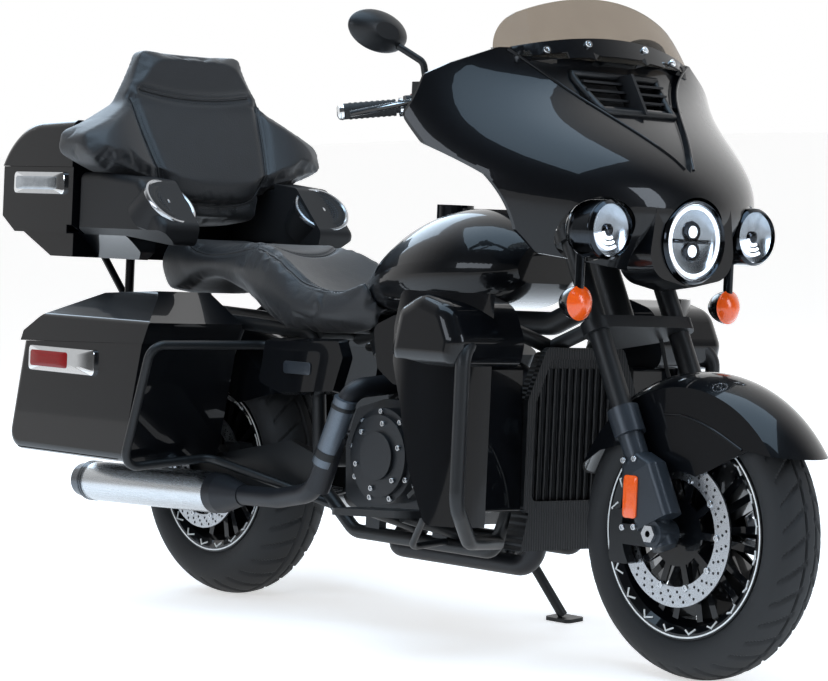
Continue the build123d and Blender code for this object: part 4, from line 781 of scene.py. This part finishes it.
# %% [markdown]
# Lamps. A modern head lamp is a bright metal bowl with a ring of light around a reflector that is cut in
# two by a dark bar, and each side lamp shows a few curved LED bars. Bowls and rings are turned, the bars
# are swept along arcs, and a thin domed cover closes each lamp in place of the solid CAD glass.

# %% Lamp bowls, light rings and bars
LAMP_DIR = (1, 0, 0)
HEAD_AT, SPOTS_AT = (1575.0, 0.0, 947.0), [(1545.0, 226.0, 964.0), (1545.0, -226.0, 964.0)]


def arc_path(at, radius, start, end, count, x=0.0):
    turns = [math.radians(start + (end - start) * k / count) for k in range(count + 1)]
    return [(at[0] + x, at[1] + radius * math.cos(t), at[2] + radius * math.sin(t)) for t in turns]


def lens_bar(at, radius, start, end, thick, x):
    return swept(arc_path(at, radius, start, end, 20, x), thick, 8)


bowls = [turned([(0, 4.6), (30, 4.8), (56, 6.0), (74, 11.0), (80.5, 17.0)], HEAD_AT, LAMP_DIR, 72)]
halos = [swept(arc_path(HEAD_AT, 74.0, 0, 356.25, 95, 15.0), 3.6, 8, True)]
dark = []
for z_off in (21, -21):
    halos.append(turned([(0, 8.0), (11, 8.0), (13, 10.5), (9, 12.0), (0, 13.0)],
                        (HEAD_AT[0], 0, HEAD_AT[2] + z_off), LAMP_DIR, 36))
    dark.append(turned([(13.2, 5.5), (15.5, 11.5), (21.0, 12.0), (24.0, 5.5)],
                       (HEAD_AT[0], 0, HEAD_AT[2] + z_off), LAMP_DIR, 36))
dark.append(plate(rounded(118, 9, 4), (HEAD_AT[0] + 5, 0, HEAD_AT[2]), (0, 1, 0), (0, 0, 1), 6.0, 1.0))
for at in SPOTS_AT:
    bowls.append(turned([(0, 4.6), (22, 4.8), (42, 6.0), (55.5, 12.0)], at, LAMP_DIR, 56))
    for radius in (18.0, 29.0, 40.0):
        halos.append(lens_bar(at, radius, 195, 300, 3.4, 10.0))
    dark.append(turned([(0, 5.5), (12, 5.5), (13, 9.0), (9, 11.0), (0, 11.5)], at, LAMP_DIR, 28))
piece("lamp_bowls", bowls, MATS["lamp_bowl"], "steering", 40.0)
piece("lamp_lights", halos, MATS["led_white"], "steering", 50.0)
piece("lamp_bars", dark, MATS["black_chrome"], "steering", 40.0)
print("lamp pieces", len(bowls), len(halos), len(dark))

# %% Lamp covers
def lamp_cover(at, radius, low, high):
    dome = [(radius * math.sin(math.pi / 2 * k / 8), low + (high - low) * math.cos(math.pi / 2 * k / 8))
            for k in range(9)]
    inner = [(r - 1.6 * r / radius, h - 1.8) for r, h in reversed(dome)]
    return turned(dome + inner, at, LAMP_DIR, 64)


covers = [lamp_cover(HEAD_AT, 81.8, 19.0, 27.0)]
covers += [lamp_cover(at, 56.8, 15.0, 21.0) for at in SPOTS_AT]
lamp_covers = piece("lamp_covers", covers, MATS["clear_glass"], "steering", 50.0)
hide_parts("lamp_glass")
print("cover faces", len(lamp_covers.data.polygons))

# %% [markdown]
# Trim rings. Dark polished rings frame the head lamp and the side lamps, and a small amber bar reflector is
# stuck on each fork cover. The rings are turned, and a reflector is a plate with a slight crown.

# %% Lamp rims and reflectors
rims = [turned([(82.2, 8), (84.0, 20.0), (88.0, 23.6), (92.5, 20.0), (94.3, 8.0)], HEAD_AT, LAMP_DIR, 72)]
for at in SPOTS_AT:
    rims.append(turned([(57.0, 8), (58.2, 15.0), (60.5, 17.8), (63.2, 15.0), (64.3, 8.0)], at, LAMP_DIR, 56))
piece("lamp_rims", rims, MATS["black_chrome"], "steering", 50.0)

bars = both([plate(rounded(40, 92, 8), (1586, -155.2, 394), (1, 0, 0), (0, 0, 1), 4.0, 1.0)])
# The reflectors wear the amber lens finish, so they carry its painted glow.
piece("fork_reflectors", bars, MATS["amber_lens"], "steering")
print("rims", len(rims), "reflectors", len(bars))

# %% [markdown]
# Seat and backrest. Both are foam under stretched leather, so they must look filled: soft crowns, rolled
# edges and seams that pull the cover down. We take a copy of the CAD solid, remesh it to an even skin, and
# let Blender's cloth blow it up a little from inside. The seams are pressed in afterwards, because a remesh
# would erase them, and the wings of the backrest, which hold the passenger sideways, are rolled forward
# before that.

# %% Foam under leather
def foam(node, voxel, cap, shrink):
    mesh = nodes[node].data.copy()
    clean(mesh, 1e-5, shrink=shrink)
    pad = bpy.data.objects.new(node + "_foam", mesh)
    bpy.context.scene.collection.objects.link(pad)
    even = pad.modifiers.new("even", "REMESH")
    even.mode = "VOXEL"
    even.voxel_size = voxel
    soften = pad.modifiers.new("soften", "SMOOTH")
    soften.iterations = 14
    skin = bpy.data.meshes.new_from_object(pad.evaluated_get(bpy.context.evaluated_depsgraph_get()))
    pad.modifiers.clear()
    pad.data = skin
    rest = np.array([v.co[:] for v in skin.vertices])
    cloth = pad.modifiers.new("cloth", "CLOTH")
    cloth.settings.use_pressure = True
    cloth.settings.uniform_pressure_force = 4.0
    cloth.settings.effector_weights.gravity = 0.0
    for step in range(1, 21):
        bpy.context.scene.frame_set(step)
    blown = bpy.data.meshes.new_from_object(pad.evaluated_get(bpy.context.evaluated_depsgraph_get()))
    pad.modifiers.clear()
    bpy.context.scene.frame_set(1)
    move = np.array([v.co[:] for v in blown.vertices]) - rest
    length = np.linalg.norm(move, axis=1, keepdims=True)
    move *= np.minimum(1.0, cap / np.maximum(length, 1e-9))
    skin.vertices.foreach_set("co", (rest + move).ravel())
    print(node, "swelled by", round(float(np.minimum(length, cap).max()) * 1000, 1), "mm")
    bpy.data.objects.remove(pad)
    return skin


print("foam() ready")

# %% Seams pressed into a skin, and points found on it
def press(mesh, seams, flat_axis, depth, width):
    points = np.array([(UNPLACE @ v.co)[:] for v in mesh.vertices])
    normals = np.array([(UNTURN @ v.normal)[:] for v in mesh.vertices])
    keep = [k for k in range(3) if k != flat_axis]
    sink = np.zeros(len(points))
    for line in seams:
        line = np.array([p[:] for p in line])[:, keep]
        for a, b in zip(line[:-1], line[1:]):
            run = b - a
            share = np.clip(((points[:, keep] - a) @ run) / max(run @ run, 1e-9), 0.0, 1.0)
            away = np.linalg.norm(points[:, keep] - (a + share[:, None] * run), axis=1)
            sink = np.maximum(sink, np.exp(-(away / width) ** 2))
    sink *= np.clip(normals[:, flat_axis] / 0.35, 0.0, 1.0)
    points -= normals * (sink * depth)[:, None]
    mesh.vertices.foreach_set("co", np.array([placed(p)[:] for p in points]).ravel())
    mesh.update()


skins = {}


def on_skin(mesh, line, direction, lift):
    if mesh.name not in skins:
        corners = [v.co for v in mesh.vertices]
        skins[mesh.name] = BVHTree.FromPolygons(corners, [p.vertices[:] for p in mesh.polygons])
    tree = skins[mesh.name]
    aim_at = TURN @ Vector(direction)
    found = []
    for p in line:
        start = placed(p) - aim_at * 0.6
        hit, normal, _, _ = tree.ray_cast(start, aim_at, 1.2)
        if hit is not None:
            found.append(UNPLACE @ (hit + normal * lift * 0.001))
    return found


print("press() and on_skin() ready")

# %% The two pads
seat_edge = [(-170, 96, 0), (-40, 124, 0), (150, 136, 0), (300, 152, 0), (430, 158, 0), (560, 142, 0),
             (668, 88, 0)]
seat_lines = [eased(seat_edge), eased([(x, -y, z) for x, y, z in seat_edge]),
              eased([(214, -140, 0), (258, -70, 0), (268, 0, 0), (258, 70, 0), (214, 140, 0)])]
back_lines = [eased([(0, -176, 1286), (0, -90, 1274), (0, 0, 1270), (0, 90, 1274), (0, 176, 1286)]),
              eased([(0, -206, 1262), (0, -190, 1150), (0, -164, 1050), (0, -110, 1004), (0, 0, 992),
                     (0, 110, 1004), (0, 164, 1050), (0, 190, 1150), (0, 206, 1262)])]
seat_skin = foam("seat", 0.0055, 0.010, 0.004)
press(seat_skin, seat_lines, 2, 5.0, 9.0)
seat_pad = put("seat_pad", seat_skin, MATS["leather"], "chassis", 80.0)
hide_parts("seat")
back_skin = foam("backrest", 0.0055, 0.014, 0.004)
back_points = np.array([(UNPLACE @ v.co)[:] for v in back_skin.vertices])
back_ahead = np.array([(UNTURN @ v.normal).x for v in back_skin.vertices])
wing = np.sin(np.pi * np.clip((np.abs(back_points[:, 1]) - 196.0) / 200.0, 0.0, 1.0))
back_points[:, 0] += 20.0 * wing * np.clip(back_ahead / 0.4, 0.0, 1.0)
back_skin.vertices.foreach_set("co", np.array([placed(p)[:] for p in back_points]).ravel())
back_skin.update()
press(back_skin, back_lines, 0, 10.0, 12.0)
back_pad = put("backrest_pad", back_skin, MATS["leather"], "chassis", 80.0)
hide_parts("backrest")
print("pad faces", len(seat_skin.polygons), len(back_skin.polygons))

# %% [markdown]
# Stitches run in two rows beside each seam. A small tree follows a line: it turns the line to a curve, cuts
# it into even steps and lays one short thread on each step, turned along the line.

# %% Stitches along the seams
sewing, source, sink = new_tree("stitch_rows", [
    ("Pitch", "NodeSocketFloat"), ("Thread", "NodeSocketFloat"), ("Finish", "NodeSocketMaterial")])
line_curve = add_node(sewing, "GeometryNodeMeshToCurve", inputs={"Mesh": source.outputs["Geometry"]})
even_points = add_node(sewing, "GeometryNodeCurveToPoints", {"mode": "LENGTH"}, {
    "Curve": line_curve.outputs["Curve"], "Length": source.outputs["Pitch"]})
along = add_node(sewing, "FunctionNodeAlignRotationToVector", {"axis": "Z"}, {
    "Vector": even_points.outputs["Tangent"]})
bead = add_node(sewing, "GeometryNodeMeshUVSphere", inputs={
    "Segments": 6, "Rings": 4, "Radius": source.outputs["Thread"]})
thread = add_node(sewing, "GeometryNodeTransform", inputs={
    "Geometry": bead.outputs["Mesh"], "Scale": (1.0, 1.0, 3.2)})
sewn = add_node(sewing, "GeometryNodeInstanceOnPoints", inputs={
    "Points": even_points.outputs["Points"], "Instance": thread.outputs["Geometry"],
    "Rotation": along.outputs["Rotation"]})
close_tree(sewing, sewn.outputs["Instances"], source, sink)


def stitched(name, runs):
    seed = bpy.data.meshes.new(name + "_lines")
    points, edges = [], []
    for run in runs:
        edges += [(len(points) + k, len(points) + k + 1) for k in range(len(run) - 1)]
        points += [placed(p) for p in run]
    seed.from_pydata(points, edges, [])
    made = grown(name, sewing, seed, {"Pitch": 0.0085, "Thread": 0.0009, "Finish": MATS["thread"]})
    return put(name, made, MATS["thread"], "chassis")


def beside(line, gap, flat_axis):
    out = []
    for i, p in enumerate(line):
        run = line[min(i + 1, len(line) - 1)] - line[max(i - 1, 0)]
        across = Vector((-run.y, run.x, 0)) if flat_axis == 2 else Vector((0, -run.z, run.y))
        out.append(p + across.normalized() * gap)
    return out


seat_rows = [on_skin(seat_skin, [Vector((p.x, p.y, 860)) for p in beside(line, gap, 2)], (0, 0, -1), 0.5)
             for line in seat_lines for gap in (9.0, -9.0)]
back_rows = [on_skin(back_skin, [Vector((-200, p.y, p.z)) for p in beside(line, gap, 0)], (-1, 0, 0), 0.5)
             for line in back_lines for gap in (10.0, -10.0)]
stitches = stitched("pad_stitches", seat_rows + back_rows)
piping = [swept(on_skin(seat_skin, [Vector((p.x, p.y, 860)) for p in line], (0, 0, -1), 0.6), 2.2, 8)
          for line in seat_lines]
piping += [swept(on_skin(back_skin, [Vector((-200, p.y, p.z)) for p in line], (-1, 0, 0), 0.6), 2.4, 8)
           for line in back_lines]
piece("pad_piping", piping, MATS["leather"], "chassis", 60.0)
print("stitch faces", len(stitches.data.polygons))

# %% [markdown]
# Speakers. Each pod holds a round speaker behind a grille: a bright ring, a dished paper cone with a dust
# cap, and a perforated ring around it. The ring and cone are turned, and the perforation is a pattern of
# small pins laid by the point tree.

# %% Speakers
speaker_rings, speaker_cones, pins = [], [], []
for sign in (1, -1):
    out = Vector((0.7, -0.14 * sign, 0.7)).normalized()
    at = Vector((-8, 248 * sign, 984)) + out * 14
    speaker_rings.append(turned([(66, -1), (66, 3), (69, 6), (74, 5), (76.2, 0), (76.2, -3)], at, out, 64))
    speaker_rings.append(turned([(0, 5), (9, 4.6), (13, 2), (13, 0)], at, out, 32))
    speaker_cones.append(turned([(12, 0.6), (30, 1.2), (46, 2.4), (52, 4.2), (57, 2.2), (66, 2.6)], at, out, 64))
    across = out.orthogonal().normalized()
    up = out.cross(across)
    for ring_r, count in ((20, 16), (28, 22), (36, 28), (44, 34), (61, 46)):
        for k in range(count):
            angle = 2 * math.pi * k / count
            spot = at + ring_r * (across * math.cos(angle) + up * math.sin(angle)) + out * 1.4
            pins.append((spot, out))
piece("speaker_rings", speaker_rings, MATS["bright_steel"], "chassis")
piece("speaker_cones", speaker_cones, MATS["dash_plastic"], "chassis", 60.0)
lay("speaker_pins", bolt_head(2.0, 1.6), pins, MATS["satin_grey"], "chassis")
print("speaker pins", len(pins))

# %% [markdown]
# Bright trim and controls: the polished brake and clutch levers, end caps of the grips, the frames around
# the box markers, and the mirror glass. All are small turned or swept pieces on the body that carries them.

# %% Levers, grip ends and grip ribs
levers, caps, ribs = [], [], []
grip_in, grip_out = Vector((985, 335, 1222)), Vector((909, 452, 1204))
bar_dir = (grip_out - grip_in).normalized()
lever_from = grip_in - bar_dir * 34
lever_line = eased([lever_from + Vector((50, 10, 14)), lever_from + Vector((48, 36, 9)),
                    lever_from + Vector((46, 60, 4)), grip_out + Vector((62, 20, -6))])
levers.append(swept(lever_line, 8.0, 10, flat=0.8))
for step in range(9):
    rib_at = 14 + step * 12.5
    ribs.append(swept([grip_in + bar_dir * rib_at, grip_in + bar_dir * (rib_at + 5)], 19.2, 24))
caps.append(turned([(0, 6), (10, 6), (17, 2), (19, -4), (19, -8)], grip_out, bar_dir, 32))
caps.append(turned([(18.4, 0), (22, 1), (22, 7), (18.4, 8)], grip_in - bar_dir * 2, bar_dir, 32))
piece("hand_levers", both(levers), MATS["chrome"], "steering")
piece("grip_ribs", both(ribs), MATS["rubber"], "steering")
piece("grip_ends", both(caps), MATS["chrome"], "steering")
print("levers and grips made")

# %% Marker frames and mirror glass
BORDER, MIRROR_Y, MIRROR_Z = 12, 415, 1386


def marker(x_mid, z_mid, width, height, y_at, lens_share):
    flip = [(-u, v) for u, v in reversed(rounded(width, height, 13))]
    frame_plate = plate(flip, (x_mid, y_at, z_mid), (-1, 0, 0), (0, 0, 1), 9.6, 0.6)
    clear_w = width - 2 * BORDER
    lens_w = clear_w * lens_share
    lens_mid = x_mid - clear_w / 2 + lens_w / 2
    lens_plate = plate(rounded(lens_w, height - 2 * BORDER, 8), (lens_mid, y_at + 8.6, z_mid),
                       (-1, 0, 0), (0, 0, 1), 2.6, 0.8)
    return frame_plate, lens_plate


bag_frame, bag_lens = marker(-126, 588, 288, 64, 462.0, 0.62)
case_frame, case_lens = marker(-464, 1034, 232, 58, 322.0, 0.9)
piece("marker_frames", both([bag_frame]) + both([case_frame]), MATS["chrome"], "chassis")
piece("marker_lenses", both([bag_lens]), MATS["red_lens"], "chassis")
piece("case_reflectors", both([case_lens]), MATS["lamp_bowl"], "chassis")
glass = [turned([(0, 0.8), (40, 0.6), (41, 0.0), (41, -0.6)], (971, MIRROR_Y * sign, MIRROR_Z), (-1, 0, 0), 48)
         for sign in (1, -1)]
for points, _ in glass:
    for p in points:
        p.y += (p.y - math.copysign(MIRROR_Y, p.y)) * 0.45
        p.z += (p.z - MIRROR_Z) * -0.2
piece("mirror_glass", glass, MATS["mirror_silver"], "steering")
print("markers 4, mirrors", len(glass))

# %% [markdown]
# Screws and bolts. Four bright screws hold the screen, and ring bolts hold the engine covers and the fork
# covers. A strip of black trim with a dip in its middle closes the foot of the screen, a frame goes around
# the vent, and two ridge lines follow the fairing's valley. Such trim must lie on what carries it, so its
# points are found by casting rays from the front onto the CAD surface.

# %% Patches that lie on a CAD surface
def first_skin(names, point, lift, direction=(-1, 0, 0)):
    hits = [on_skin(nodes[name].data, [point], direction, lift) for name in names]
    return max((hit[0] for hit in hits if hit), key=lambda p: -p.dot(Vector(direction)), default=None)


def patch(names, rows, lift, under):
    grid = [[first_skin(names, p, lift) for p in row] for row in rows]
    wide, tall = len(rows[0]), len(rows)
    points, faces = [], []
    for shift in (0.0, under):
        for row in grid:
            for p in row:
                points.append(p - Vector((shift, 0, 0)))
    back = wide * tall
    for r in range(tall - 1):
        for c in range(wide - 1):
            a = r * wide + c
            faces += [(a, a + 1, a + wide + 1, a + wide),
                      (back + a, back + a + wide, back + a + wide + 1, back + a + 1)]
    edge = (list(range(wide)) + [r * wide + wide - 1 for r in range(1, tall)]
            + [(tall - 1) * wide + c for c in range(wide - 2, -1, -1)]
            + [r * wide for r in range(tall - 2, 0, -1)])
    for a, b in zip(edge, edge[1:] + edge[:1]):
        faces.append((a, b, back + b, back + a))
    return points, faces


FRONT_SKINS = ["fairing_outer", "windscreen"]
strip_rows = []
for share in (0.0, 0.33, 0.67, 1.0):
    row = []
    for k in range(41):
        y = -268.0 + 13.4 * k
        notch = min(1.0, max(0.0, (abs(y) - 62.0) / 26.0))
        low = 1346.0 - 16.0 * (1.0 - notch) - 26.0 * (y / 268.0) ** 2
        high = 1390.0 - 34.0 * (y / 268.0) ** 2
        row.append(Vector((1300.0, y, low + (high - low) * share)))
    strip_rows.append(row)
piece("screen_strip", [patch(FRONT_SKINS, strip_rows, 2.5, 4.0)], MATS["gloss_plastic"], "steering",
      50.0)
print("strip rows", len(strip_rows))

# %% Screen screws, vent frame and fairing ridges
spots = []
for y, z in ((-196, 1352), (196, 1352), (-88, 1372), (88, 1372)):
    spots.append((first_skin(FRONT_SKINS, Vector((1300, y, z)), 2.6), (0.8, y / 600.0, 0.45)))
lay("screen_screws", bolt_head(9.0, 6.0), spots, MATS["chrome"], "steering")

corner = [(132, 1306), (108, 1222), (-108, 1222), (-132, 1306)]
vent_line = []
for (ya, za), (yb, zb) in zip(corner, corner[1:] + corner[:1]):
    vent_line += [Vector((1400, ya + (yb - ya) * k / 12, za + (zb - za) * k / 12)) for k in range(12)]
vent_loop = [first_skin(["fairing_outer"], p, 2.0) for p in vent_line]
piece("vent_frame", [swept([p for p in vent_loop if p], 9.0, 10, True)], MATS["satin_black"], "steering",
      50.0)

valley = [(8, 1102), (36, 1140), (135, 1239), (215, 1311), (292, 1360)]
ridges = []
for sign in (1, -1):
    line = eased([(1400, sign * (y + 5), z) for y, z in valley], 10)
    ridges.append(swept([p for p in (first_skin(["fairing_outer"], q, 0.5) for q in line) if p], 3.6, 8))
piece("fairing_ridges", ridges, MATS["gloss_black"], "steering", 60.0)
print("screws", len(spots), "ridges", len(ridges))

# %% Engine and fork bolts
engine_bolts = []
for cx, cz, ring_r, y_at, count in ((815, 420, 104, -205, 9), (815, 420, 78, -216, 6), (975, 378, 58, -188, 6),
                                    (815, 420, 108, 205, 9), (665, 360, 62, 190, 6)):
    for k in range(count):
        angle = 2 * math.pi * (k + 0.3) / count
        at = (cx + ring_r * math.cos(angle), y_at, cz + ring_r * math.sin(angle))
        engine_bolts.append((at, (0, math.copysign(1, y_at), 0)))
lay("engine_bolts", bolt_head(7.0, 6.0), engine_bolts, MATS["zinc"], "chassis")

fork_bolts = [((x, sign * 155.0, z), (0, sign, 0)) for sign in (1, -1)
              for x, z in ((1566, 326), (1600, 330), (1560, 470), (1592, 476))]
lay("fork_bolts", bolt_head(7.0, 4.5), fork_bolts, MATS["zinc"], "steering")
print("bolts", len(engine_bolts) + len(fork_bolts))

# %% [markdown]
# Gauges face the rider on the inner side of the fairing. Each is a dark dial under a bright ring, with pips
# around it and a needle. The pips repeat, so the point tree lays them.

# %% Gauges
PIPS = 15
rings, dials, pips, needles = [], [], [], []
for y, z, r in ((75, 1215, 62), (-75, 1215, 62), (205, 1225, 40), (-205, 1225, 40)):
    at = Vector((1238, y, z))
    dials.append(turned([(0, 0.8), (r - 6, 0.8), (r - 5, -0.6)], at, (-1, 0, 0), 48))
    rings.append(turned([(r - 6, -0.5), (r - 5, 2.6), (r - 1.5, 3.4), (r + 0.6, -0.5)], at, (-1, 0, 0), 48))
    for k in range(PIPS):
        angle = math.radians(225.0 - 270.0 * k / (PIPS - 1))
        pips.append((at + Vector((-0.8, math.cos(angle) * (r - 12), math.sin(angle) * (r - 12))), (-1, 0, 0)))
    tip = Vector((-1.6, -(r - 18) * 0.6, (r - 18) * 0.7))
    needles.append(swept([at + Vector((-1.6, 0, 0)), at + tip], 1.3, 6))
    needles.append(turned([(0, 3.0), (4, 2.6), (5, 0.4)], at, (-1, 0, 0), 20))
piece("gauge_rings", rings, MATS["chrome"], "steering")
piece("gauge_dials", dials, MATS["gauge_face"], "steering")
piece("gauge_needles", needles, MATS["orange_line"], "steering")
lay("gauge_pips", bolt_head(1.8, 1.0), pips, MATS["white_line"], "steering")
kill = [turned([(0, 6), (6, 5.4), (7, 3), (7, 0)], (1003, -318, 1247), (-0.3, 0, 1), 20)]
piece("stop_switch", kill, MATS["red_lens"], "steering")
print("gauges", len(dials), "pips", len(pips))

# %% [markdown]
# Small panels and shields: a plain badge on each side cover, the pressed crease along the front mudguard,
# and the grey heat shield with two clamps on the exhaust's bend. They are plates and sweeps that follow the
# piece below.

# %% Side cover badges
badges = both([plate(rounded(104, 30, 9), (486, -202.2, 606), (1, 0, 0), (0, 0, 1), 3.0, 0.8)])
piece("cover_badges", badges, MATS["satin_grey"], "chassis")
print("badges", len(badges))

# %% Crease along the front mudguard
crease_line = eased([(1840, 88, 513), (1757, 88, 549), (1673, 88, 573), (1611, 88, 573)])
crease_line = [p for p in on_skin(nodes["front_fender"].data, [Vector((q.x, 0, q.z)) for q in crease_line],
                                  (0, -1, 0), 0.4) if p.y > 60]
if len(crease_line) > 3:
    crease = swept(crease_line, 3.0, 8)
    piece("fender_crease", both([crease]), MATS["gloss_black"], "steering", 60.0)
print("crease points", len(crease_line))

# %% Heat shield and clamps
SHIELD_OFF = Vector((4, -6, 2))
pipe = eased([(728, -236, 570), (690, -236, 480), (612, -236, 318)], 10)
shield = swept([p + SHIELD_OFF for p in pipe[3:17]], 28.0, 20)
piece("heat_shield", [shield], MATS["shield_grey"], "chassis", 60.0)
clamps = [swept([p + SHIELD_OFF, q + SHIELD_OFF], 29.6, 24) for p, q in
          ((pipe[5], pipe[6]), (pipe[14], pipe[15]))]
piece("shield_clamps", clamps, MATS["satin_black"], "chassis")
print("shield made")
